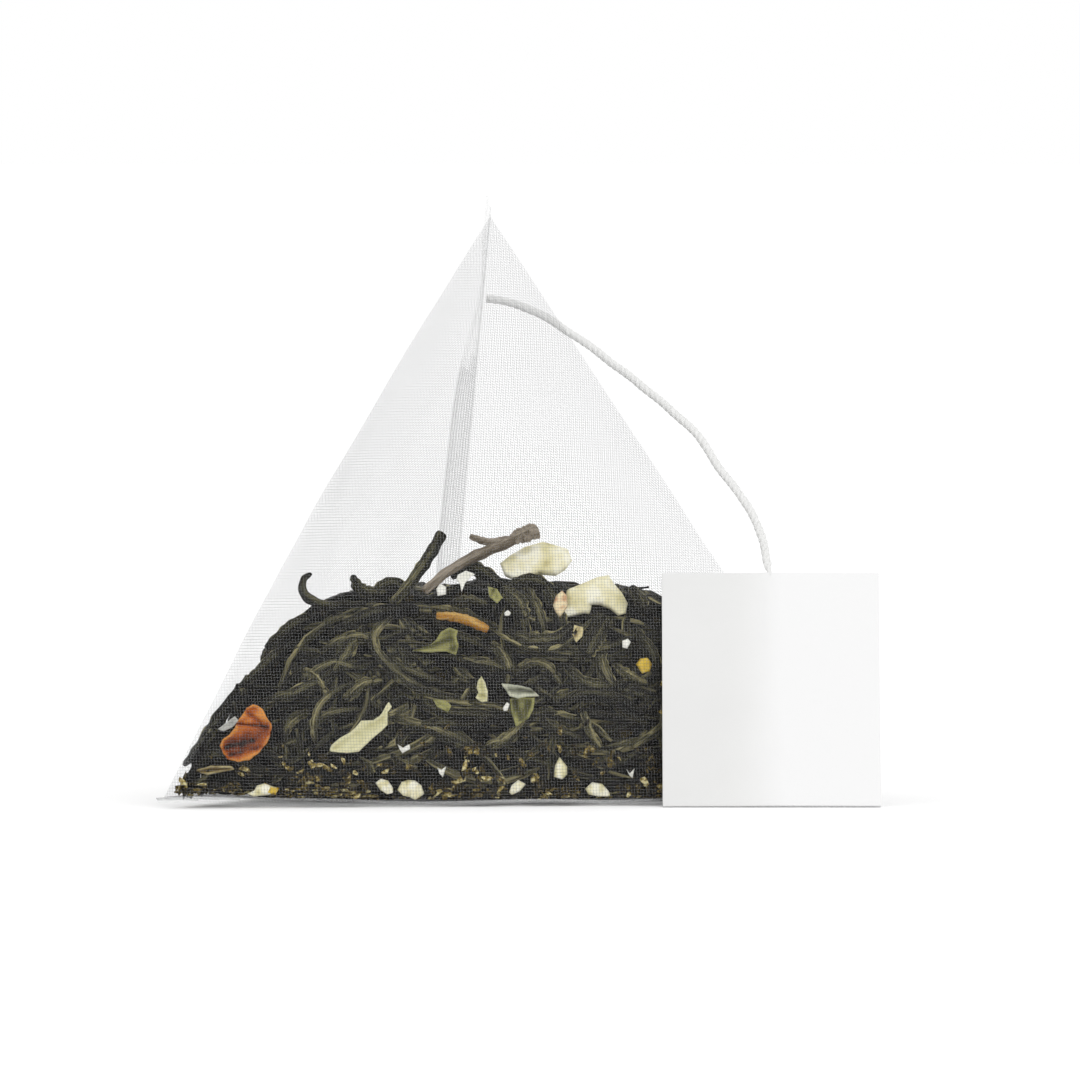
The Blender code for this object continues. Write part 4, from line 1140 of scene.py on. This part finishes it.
CHIPS = {
    # name: outline, layer, thickness, finish
    "cream_chip_left": ([(-34.1, 2.0), (-33.1, 2.4), (-32.7, 3.1), (-31.7, 3.4), (-30.8, 3.1), (-29.8, 2.8),
                         (-30.1, 2.1), (-31.1, 1.8), (-32.2, 1.7), (-33.2, 1.6)], 0, CHIP_THICKNESS, "fruit"),
    "cream_chip_small": ([(-16.1, 3.4), (-15.3, 4.0), (-14.3, 3.7), (-13.6, 2.7), (-13.6, 2.0), (-14.4, 1.8),
                          (-15.4, 2.4)], 0, CHIP_THICKNESS, "fruit"),
    "cream_chip_middle": ([(-13.0, 2.4), (-12.4, 3.5), (-11.5, 3.8), (-10.5, 3.7), (-9.6, 3.0), (-9.2, 1.8),
                           (-10.5, 1.0), (-11.3, 1.4), (-12.2, 1.6)], 0, CHIP_THICKNESS, "fruit"),
    "cream_chip_low": ([(2.7, 2.0), (3.1, 3.0), (4.0, 3.7), (5.1, 3.1), (4.2, 2.1), (3.1, 1.6)],
                       0, CHIP_THICKNESS, "fruit"),
    "cream_chip_tall": ([(9.0, 4.1), (9.2, 5.7), (9.8, 6.9), (10.9, 5.5), (10.9, 4.4), (10.2, 3.7)],
                        0, CHIP_THICKNESS, "fruit"),
    "cream_chip_right": ([(13.4, 2.4), (14.4, 3.3), (15.8, 3.1), (16.8, 2.0), (17.0, 1.3), (15.3, 1.3),
                          (13.9, 1.6)], 0, CHIP_THICKNESS, "fruit"),
    "yellow_bud": ([(20.6, 19.7), (21.2, 20.5), (22.3, 20.6), (22.9, 19.7), (22.6, 18.7), (21.5, 18.4)],
                   0, CHIP_THICKNESS, "bud"),
    "cream_chunk_left": ([(1.4, 33.8), (2.8, 34.9), (4.9, 36.1), (7.5, 36.8), (9.3, 36.3), (11.0, 35.8),
                          (11.6, 34.1), (10.6, 32.8), (9.3, 32.0), (7.1, 32.2), (5.7, 31.4), (4.0, 31.1),
                          (2.1, 32.0)], 1, 0.0022, "fruit"),
    "cream_chunk_right": ([(10.9, 30.1), (13.2, 31.0), (15.1, 31.8), (16.8, 32.1), (17.5, 31.0), (18.7, 29.6),
                           (19.5, 28.1), (19.2, 26.7), (18.1, 26.4), (17.0, 27.3), (15.6, 27.9), (14.4, 27.9),
                           (14.1, 26.6), (13.2, 26.7), (11.3, 26.3), (9.5, 26.0), (9.9, 27.0), (10.7, 27.9),
                           (10.6, 29.0)], 1, 0.0016, "fruit"),
    "red_chip": ([(8.9, 28.0), (9.3, 29.3), (10.2, 30.1), (10.9, 29.3), (11.0, 27.9), (9.9, 26.3),
                  (9.3, 27.0)], 0, 0.0006, "rosy"),
    "yellow_chip": ([(-31.7, 3.5), (-30.6, 3.0), (-29.5, 2.8), (-30.1, 1.8), (-31.2, 2.0)], 0, 0.0008, "bud"),
}
WHITE_BITS = (
    [(-13.0, 8.8), (-12.2, 8.3), (-11.3, 8.8), (-11.2, 8.1), (-12.3, 7.5), (-12.7, 8.1)],
    [(-7.4, 5.5), (-6.8, 5.2), (-6.1, 5.7), (-6.4, 4.7), (-6.6, 4.1), (-7.1, 4.7)],
    [(18.7, 23.0), (19.5, 23.3), (19.9, 22.8), (19.4, 21.9), (18.7, 22.1)],
    [(1.8, 13.7), (2.4, 14.6), (2.8, 14.3), (2.5, 13.4), (2.0, 13.3)],
    [(-7.6, 30.4), (-7.1, 31.1), (-6.2, 30.7), (-6.2, 29.6), (-7.4, 29.4)],
    [(19.2, 5.2), (19.7, 4.5), (20.4, 5.2), (20.1, 3.8), (19.7, 4.2)],
    [(2.0, 27.0), (2.5, 27.4), (3.0, 27.0), (2.7, 26.6), (2.1, 26.6)],
)
CHIPS.update({"white_bit_" + letter: (bit, 0, BIT_THICKNESS, "white")
              for letter, bit in zip("abcdefg", WHITE_BITS)})


def lay_chip(name, outline, layer, thickness, finish, seed):
    """A dried bit of fruit with a drawn outline: domed on both sides, with flat broken places."""
    flat, faces, edge = outline_grid(outline, 6)
    draw = random.Random(seed)
    middle = flat.mean(axis=0)
    size = np.abs(flat - middle).max()
    local = (flat - middle) / size
    swell = np.sqrt(1 - (1 - np.clip(edge / (edge.max() * 0.75), 0, 1)) ** 2)
    wear = field(local, 2.0, seed) + 0.4 * field(local, 6.0, seed + 5)
    shells = []
    for side in (1, -1):
        dome = swell * (1 + 0.22 * wear)
        # Four flat broken places on each side
        for _ in range(4):
            slope = draw.uniform(0.2, 0.9)
            angle = draw.uniform(0, 2 * math.pi)
            plane = draw.uniform(0.75, 1.05) - slope * (local @ (math.cos(angle), math.sin(angle)))
            dome = np.minimum(dome, np.maximum(plane, 0.3 * swell))
        shells.append(side * dome * thickness / 2)
    near = BAG_WALL + CLEARANCE + layer * LAYER_STEP + thickness / 2
    front = front_places(flat[:, 0], flat[:, 1], near - shells[0])
    rear = front_places(flat[:, 0], flat[:, 1], near - shells[1])
    inner = edge > 1e-6
    number = np.arange(len(flat))
    number[inner] = len(flat) + np.arange(inner.sum())
    closed = faces + [[int(number[k]) for k in face[::-1]] for face in faces]
    chip = mesh_object(name, np.vstack([front, rear[inner]]), closed, finish)
    relief = np.clip(0.50 + 0.65 * wear + 0.10 * swell, 0, 1)
    point_attribute(chip, "relief", "FLOAT", np.concatenate([relief, relief[inner]]))
    return chip


# String and tag

STRING_DIAMETER = 0.00075
STRING_ROUTE = [
    (-0.4, 7.2, 45.8), (1.4, 7.3, 45.5), (4.2, 6.6, 44.5), (7.5, 5.0, 42.6), (10.6, 3.0, 40.3),
    (14.6, 0.1, 37.3), (18.6, -3.2, 33.8), (21.4, -6.0, 29.9), (23.6, -8.4, 26.9), (24.9, -10.0, 24.0),
    (25.4, -11.1, 21.4), (25.5, -11.35, 20.7),
]
STRING_PLIES = 3
STRING_LAY = 0.0021
# Kinks that stay in the yarn after it was wound: size and depth
STRING_KINK = (0.0035, 0.00016)
TAG_HEIGHT = 0.0227
TAG_THICKNESS = 0.0005
TAG_LEAN = math.radians(23.5)
TAG_GAP = 0.00002
TAG_EDGE = 0.00004
# The string's line between the plies, as a share of the tag's width
TAG_STRING_SHARE = 0.49


def twist_string(finish):
    """A three-ply string: a lobed section that turns as it runs along the route."""
    route = smooth_route(np.array(STRING_ROUTE) * MM, 61)
    fine = smooth_route(route, 431)
    steps = np.linalg.norm(np.diff(fine, axis=0), axis=1)
    run = np.concatenate([[0], np.cumsum(steps)])
    tangents = unit(np.gradient(fine, axis=0))
    sides = unit(np.cross(np.broadcast_to((0, 0, 1.0), fine.shape), tangents))
    ups = np.cross(tangents, sides)
    size, depth = STRING_KINK
    for k, seed in ((0, 2.0), (1, 7.0), (2, 11.0)):
        fine[:, k] += [depth * noise.noise(Vector((at / size, seed, 0))) for at in run]
    sections = 24
    angle = 2 * math.pi * np.arange(sections) / sections
    places = []
    grain = []
    for k, centre in enumerate(fine):
        turn = 2 * math.pi * run[k] / STRING_LAY
        lobe = np.abs(np.cos(STRING_PLIES / 2 * (angle - turn)))
        slub = 1 + 0.06 * noise.noise(Vector((run[k] * 900, 0, 0)))
        # The last millimetre is pressed flat between the tag's plies
        pressed = 1 - 0.42 * np.clip((run[k] - run[-1] + 0.0011) / 0.0006, 0, 1)
        radius = STRING_DIAMETER / 2 * (0.77 + 0.29 * lobe ** 0.8) * slub * pressed
        places.append(centre + np.outer(np.cos(angle) * radius, sides[k])
                      + np.outer(np.sin(angle) * radius, ups[k]))
        grain.append(np.stack([np.cos(angle - turn * 1.8) * 5, np.sin(angle - turn * 1.8) * 5,
                               np.full(sections, run[k] / 0.0006)], axis=1))
    places = np.vstack(places)
    faces = []
    for i in range(len(fine) - 1):
        near, far = i * sections, (i + 1) * sections
        for j in range(sections):
            after = (j + 1) % sections
            faces.append([near + j, near + after, far + after, far + j])
    faces.append(list(range(sections))[::-1])
    last = (len(fine) - 1) * sections
    faces.append([last + j for j in range(sections)])
    yarn = mesh_object("twisted_string", places, faces, finish)
    point_attribute(yarn, "grain", "FLOAT_VECTOR", np.vstack(grain))
    return yarn, route, float(run[-1])


def fold_tag(finish):
    """Two plies of card with a soft ridge where the string runs between them."""
    low, high = (np.array(corner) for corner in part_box("tag"))
    left, right = low[0], high[0]
    foot = low[1]
    lean_back = np.array([0, math.sin(TAG_LEAN), math.cos(TAG_LEAN)])
    outward = np.array([0, -math.cos(TAG_LEAN), math.sin(TAG_LEAN)])
    columns, rows = 64, 48
    ply = TAG_THICKNESS / 2 - TAG_GAP
    pieces = []
    for number, back in enumerate((0.0, TAG_THICKNESS / 2)):
        bpy.ops.object.select_all(action="DESELECT")
        bpy.ops.mesh.primitive_grid_add(x_subdivisions=columns, y_subdivisions=rows, size=1)
        grid, faces = take_shape(bpy.context.object)
        x = grid[:, 0] + 0.5
        z = grid[:, 1] + 0.5
        # Both halves turn a little back from the string's line, the left one more
        beside = x - TAG_STRING_SHARE
        half = np.where(x < TAG_STRING_SHARE, -beside * 0.0009, beside * 0.0003)
        ridge = 0.00010 * np.exp(-(beside / 0.030) ** 2) * np.clip((z - 0.45) / 0.4, 0, 1)
        wave = np.array([noise.noise(Vector((a * 2.2, b * 2.2, 4.0))) for a, b in zip(x, z)]) * 0.00006
        offset = ridge + wave - half * 0.35
        base = np.array([0, foot, TAG_THICKNESS * math.sin(TAG_LEAN)])
        places = (base + np.outer(left + x * (right - left), (1, 0, 0)) + np.outer(z * TAG_HEIGHT, lean_back)
                  + np.outer(offset - back - TAG_GAP, outward))
        leaf = mesh_object(f"tag_ply_{number}", places, faces, finish)
        give_wall(leaf, ply, -1)
        ease = leaf.modifiers.new("ease", "BEVEL")
        ease.width = TAG_EDGE
        ease.segments = 2
        apply_modifiers(leaf)
        pieces.append(leaf)
    select_only(*pieces)
    bpy.ops.object.join()
    tag = pieces[0]
    tag.name = "paper_tag"
    return tag


# Settings

class MeshSettings(bpy.types.PropertyGroup):
    pitch: FloatProperty(name="Thread pitch", description="Distance from thread to thread", default=0.00027,
                         unit="LENGTH", precision=5)
    thread_width: FloatProperty(name="Thread width", description="Width of one thread", default=0.000042,
                                unit="LENGTH", precision=6)
    thread_height: FloatProperty(name="Thread height", description="Thickness of one thread",
                                 default=0.000060, unit="LENGTH", precision=6)
    thread_opacity: FloatProperty(name="Thread opacity", default=0.12, min=0, max=1, subtype="FACTOR",
                                  description="Share of light that one thread's wall stops")


class TeaSettings(bpy.types.PropertyGroup):
    seed: IntProperty(name="Seed", description="Start of the random places", default=11)
    leaf_count: IntProperty(name="Leaves", description="Leaves behind the mesh", default=1250)
    corner_count: IntProperty(name="Corner leaves", description="Short leaves in the thin left corner",
                              default=160)
    top_count: IntProperty(name="Top leaves", description="Leaves on top of the heap", default=620)
    crumb_count: IntProperty(name="Crumbs", description="Crumbs against the mesh", default=9000)


class StudioSettings(bpy.types.PropertyGroup):
    distance: FloatProperty(name="Camera distance", description="Camera to the bag", default=1.20,
                            unit="LENGTH")
    elevation: FloatProperty(name="Camera elevation", description="Angle above the table",
                             default=math.radians(1.8), subtype="ANGLE")
    view_width: FloatProperty(name="View width", description="Width of the picture at the bag",
                              default=0.0985, unit="LENGTH", precision=4)
    target: FloatVectorProperty(name="Target", description="Middle of the picture",
                                default=(0.00456, -0.012, 0.0240), subtype="TRANSLATION")
    sky_strength: FloatProperty(name="Sky strength", description="Light from all round", default=0.86)
    key_power: FloatProperty(name="Key lamp power", description="Power of the soft lamp", default=1.9)


# Operators

def seen_by_eye(tree):
    """1 where the camera sees a surface, also in a gloss or through glass, and 0 where it only lights."""
    path = add_node(tree, "ShaderNodeLightPath")
    seen = path.outputs["Is Camera Ray"]
    for kind in ("Is Glossy Ray", "Is Transmission Ray"):
        seen = calculate(tree, "MAXIMUM", seen, path.outputs[kind])
    return seen


class TEABAG_OT_studio(bpy.types.Operator):
    """Sets the camera, the pale table, the white surround and the soft lamps"""
    bl_idname = "teabag.studio"
    bl_label = "Studio"

    def execute(self, context):
        settings = context.scene.tea_bag_studio
        context.scene.view_settings.view_transform = "Standard"
        # A line of sight along a fin passes many clear thread walls
        context.scene.cycles.transparent_max_bounces = 64
        lens = bpy.data.cameras.new("camera")
        lens.sensor_width = 36
        lens.lens = lens.sensor_width * settings.distance / settings.view_width
        lens.clip_start = 0.01
        lens.clip_end = 60
        camera = bpy.data.objects.new("camera", lens)
        back = Vector((0, -math.cos(settings.elevation), math.sin(settings.elevation)))
        camera.location = Vector(settings.target) + back * settings.distance
        camera.rotation_euler = (-back).to_track_quat("-Z", "Y").to_euler()
        context.scene.collection.objects.link(camera)
        context.scene.camera = camera

        world = bpy.data.worlds.new("white_surround")
        world.use_nodes = True
        context.scene.world = world
        tree = world.node_tree
        tree.nodes.clear()
        strength = add_node(tree, "ShaderNodeMapRange", {"Value": seen_by_eye(tree),
                                                         "To Min": settings.sky_strength, "To Max": 1.0})
        sky = add_node(tree, "ShaderNodeBackground",
                       {"Color": (1, 1, 1, 1), "Strength": strength.outputs[0]})
        add_node(tree, "ShaderNodeOutputWorld", {"Surface": sky.outputs[0]})

        table, tree, shader = new_material("white_table")
        shader.inputs["Base Color"].default_value = linear("#FBFBFB")
        shader.inputs["Roughness"].default_value = 0.9
        shader.inputs["Specular IOR Level"].default_value = 0.0
        shader.inputs["Emission Color"].default_value = (1, 1, 1, 1)
        # Painted light: a camera-only glow, weaker near the bag so its shadow stays deep and stronger further
        # off where the lamps light the table less
        away = add_node(tree, "ShaderNodeVectorMath", {0: own_place(tree)}, operation="LENGTH")
        white = add_node(tree, "ShaderNodeMapRange", {"Value": away.outputs["Value"], "From Min": 0.05,
                                                      "From Max": 0.25, "To Min": 0.12, "To Max": 0.22},
                         interpolation_type="SMOOTHSTEP")
        painted_glow = calculate(tree, "MULTIPLY", seen_by_eye(tree), white.outputs["Result"])
        tree.links.new(painted_glow, shader.inputs["Emission Strength"])
        bpy.ops.object.select_all(action="DESELECT")
        bpy.ops.mesh.primitive_circle_add(vertices=96, radius=20.0, fill_type="NGON", location=(0, 0, 0))
        floor = context.object
        floor.name = "table_top"
        floor.data.materials.append(table)

        lamps = (("key_lamp", (0.45, -0.55, 0.75), 0.60, settings.key_power),
                 ("fill_lamp", (-0.60, -0.40, 0.55), 0.60, settings.key_power * 0.35))
        for name, place, size, power in lamps:
            light = bpy.data.lights.new(name, "AREA")
            light.size = size
            light.energy = power
            lamp = bpy.data.objects.new(name, light)
            lamp.location = place
            aim = Vector((0, 0, 0.02)) - lamp.location
            lamp.rotation_euler = aim.to_track_quat("-Z", "Y").to_euler()
            context.scene.collection.objects.link(lamp)
        return {"FINISHED"}


class TEABAG_OT_string_and_tag(bpy.types.Operator):
    """Twists the cotton string from the seal to the tag, and folds the paper tag"""
    bl_idname = "teabag.string_and_tag"
    bl_label = "String and tag"

    def execute(self, context):
        yarn, route, length = twist_string(cotton_yarn())
        settle(yarn, "string", "string")
        tag = fold_tag(uncoated_card())
        settle(tag, "tag", "tag")
        return {"FINISHED"}


class TEABAG_OT_mesh(bpy.types.Operator):
    """Weaves the bag's threads round the folded tube and seals its two fins"""
    bl_idname = "teabag.mesh"
    bl_label = "Woven mesh"

    def execute(self, context):
        settings = context.scene.tea_bag_mesh
        thread = nylon_thread()
        threads = Threads(settings.thread_width, settings.thread_height)
        weave_wefts(threads, settings.pitch, WEFT_STEP)
        weave_warps(threads, settings.pitch, WARP_STEP)
        weave_fins(threads, settings.pitch)
        cloth = threads.build("woven_mesh", thread)
        cloth.data.materials.append(pressed_thread())
        middles = np.array([face.center for face in cloth.data.polygons])
        in_fin = np.sort(corner_shares(middles), axis=1)[:, 1] < FIN_SHARE
        cloth.data.polygons.foreach_set("material_index", in_fin.astype(np.int32))
        settle(cloth, "mesh", "mesh_bag")
        sealed = sealed_nylon()
        welds = [settle(weld_strip(seal, name, sealed), "mesh")
                 for seal, name in ((0, "front_weld"), (1, "rear_weld"))]
        return {"FINISHED"}


class TEABAG_OT_heap(bpy.types.Operator):
    """Fills the bag with rolled leaves and crumbs over a near-black core of packed dust and painted shade"""
    bl_idname = "teabag.heap"
    bl_label = "Heap of tea"

    def execute(self, context):
        settings = context.scene.tea_bag_tea
        finish = dry_leaf("dry_tea_leaf", LEAF_TONES)
        settle(fill_heap(settings).build("loose_leaves", finish), "tea")
        settle(scatter_crumbs(settings).build("tea_crumbs", dry_leaf("broken_tea_leaf", CRUMB_TONES)), "tea")
        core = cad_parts["tea_bed"]
        core.data.materials.clear()
        core.data.materials.append(dust_and_painted_shade())
        return {"FINISHED"}


class TEABAG_OT_leaves(bpy.types.Operator):
    """Lays the leaves and stems that can be told apart through the front face"""
    bl_idname = "teabag.leaves"
    bl_label = "Front leaves"

    def execute(self, context):
        finish = bpy.data.materials["dry_tea_leaf"]
        pointed = [take_shape(model_leaf("leaf_blank", 10, 18, turns, 0.3, 20 + seed))
                   for seed, turns in enumerate((0.5, 1.1, 1.7))]
        stick = [take_shape(model_leaf("stem_blank", 9, 18, turns, 0.80, 40 + seed, 0.08))
                 for seed, turns in enumerate((0.25, 0.5))]
        stems = ("straight_stem", "thin_stem", "curl_stem", "leaf_stub")
        for number, (name, (places, layer, width, tone)) in enumerate(DARK_LEAVES.items()):
            blanks = stick if name in stems else pointed
            blank = blanks[number % len(blanks)]
            settle(lay_leaf("rolled_" + name, places, layer, width, tone, blank, finish), "tea", name)
        for number, (places, layer, width, tone) in enumerate(MORE_LEAVES):
            blank = pointed[number % len(pointed)]
            settle(lay_leaf(f"more_leaf_{number}", places, layer, width, tone, blank, finish), "tea")
        twig = dry_leaf("dry_twig", STEM_TONES)
        fork = lay_leaf("rolled_forked_stem", FORK_MAIN, 0, 0.0012, 0.58, stick[0], twig)
        prong = lay_leaf("prong", FORK_PRONG, 0, 0.0008, 0.56, stick[1], twig)
        knot = lay_leaf("knot", FORK_KNOT, 0, 0.0017, 0.62, stick[1], twig)
        select_only(fork, prong, knot)
        bpy.ops.object.join()
        settle(fork, "stem", "forked_stem")
        amber = dry_leaf("orange_twig", AMBER_TONES)
        stem = lay_leaf("rolled_orange_stem", ORANGE_STEM, 0, 0.0010, 0.5, stick[1], amber)
        settle(stem, "orange", "orange_stem")
        return {"FINISHED"}


class TEABAG_OT_petals(bpy.types.Operator):
    """Lays the petals, and the chips and chunks of dried fruit"""
    bl_idname = "teabag.petals"
    bl_label = "Petals and fruit"

    def execute(self, context):
        finishes = {name: dry_petal("dry_" + name, tones) for name, tones in PETAL_TONES.items()}
        slots = {"orange": "orange", "tan": "stem", "olive": "stem", "bud": "orange"}
        for seed, (name, (*shape, finish)) in enumerate(PETALS.items()):
            petal = lay_petal("crumpled_" + name, *shape, finishes[finish], seed)
            settle(petal, slots.get(finish, "cream"), *({name} & set(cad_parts)))
        for seed, (name, (outline, layer, thickness, finish)) in enumerate(CHIPS.items()):
            chip = lay_chip("dried_" + name, outline, layer, thickness, finishes[finish], seed)
            settle(chip, slots.get(finish, "cream"), *({name} & set(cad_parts)))
        return {"FINISHED"}


class TEABAG_PT_panel(bpy.types.Panel):
    """Lists the steps that build the tea bag"""
    bl_label = "Tea bag"
    bl_idname = "TEABAG_PT_panel"
    bl_space_type = "VIEW_3D"
    bl_region_type = "UI"
    bl_category = "Tea bag"

    def draw(self, context):
        for group in (context.scene.tea_bag_studio, context.scene.tea_bag_mesh, context.scene.tea_bag_tea):
            box = self.layout.box()
            for key in group.bl_rna.properties.keys():
                if key not in ("rna_type", "name"):
                    box.prop(group, key)
        for step in STEPS:
            self.layout.operator(step.bl_idname)


STEPS = (TEABAG_OT_studio, TEABAG_OT_string_and_tag, TEABAG_OT_heap, TEABAG_OT_leaves, TEABAG_OT_petals,
         TEABAG_OT_mesh)
GROUPS = {"tea_bag_mesh": MeshSettings, "tea_bag_tea": TeaSettings, "tea_bag_studio": StudioSettings}


def register():
    for group in GROUPS.values():
        bpy.utils.register_class(group)
    for name, group in GROUPS.items():
        setattr(bpy.types.Scene, name, PointerProperty(type=group))
    for step in STEPS:
        bpy.utils.register_class(step)
    bpy.utils.register_class(TEABAG_PT_panel)


def unregister():
    bpy.utils.unregister_class(TEABAG_PT_panel)
    for step in reversed(STEPS):
        bpy.utils.unregister_class(step)
    for name in GROUPS:
        delattr(bpy.types.Scene, name)
    for group in reversed(GROUPS.values()):
        bpy.utils.unregister_class(group)


def main():
    register()
    bpy.ops.teabag.studio()
    bpy.ops.teabag.string_and_tag()
    bpy.ops.teabag.heap()
    bpy.ops.teabag.leaves()
    bpy.ops.teabag.petals()
    bpy.ops.teabag.mesh()


if __name__ == "__main__":
    main()
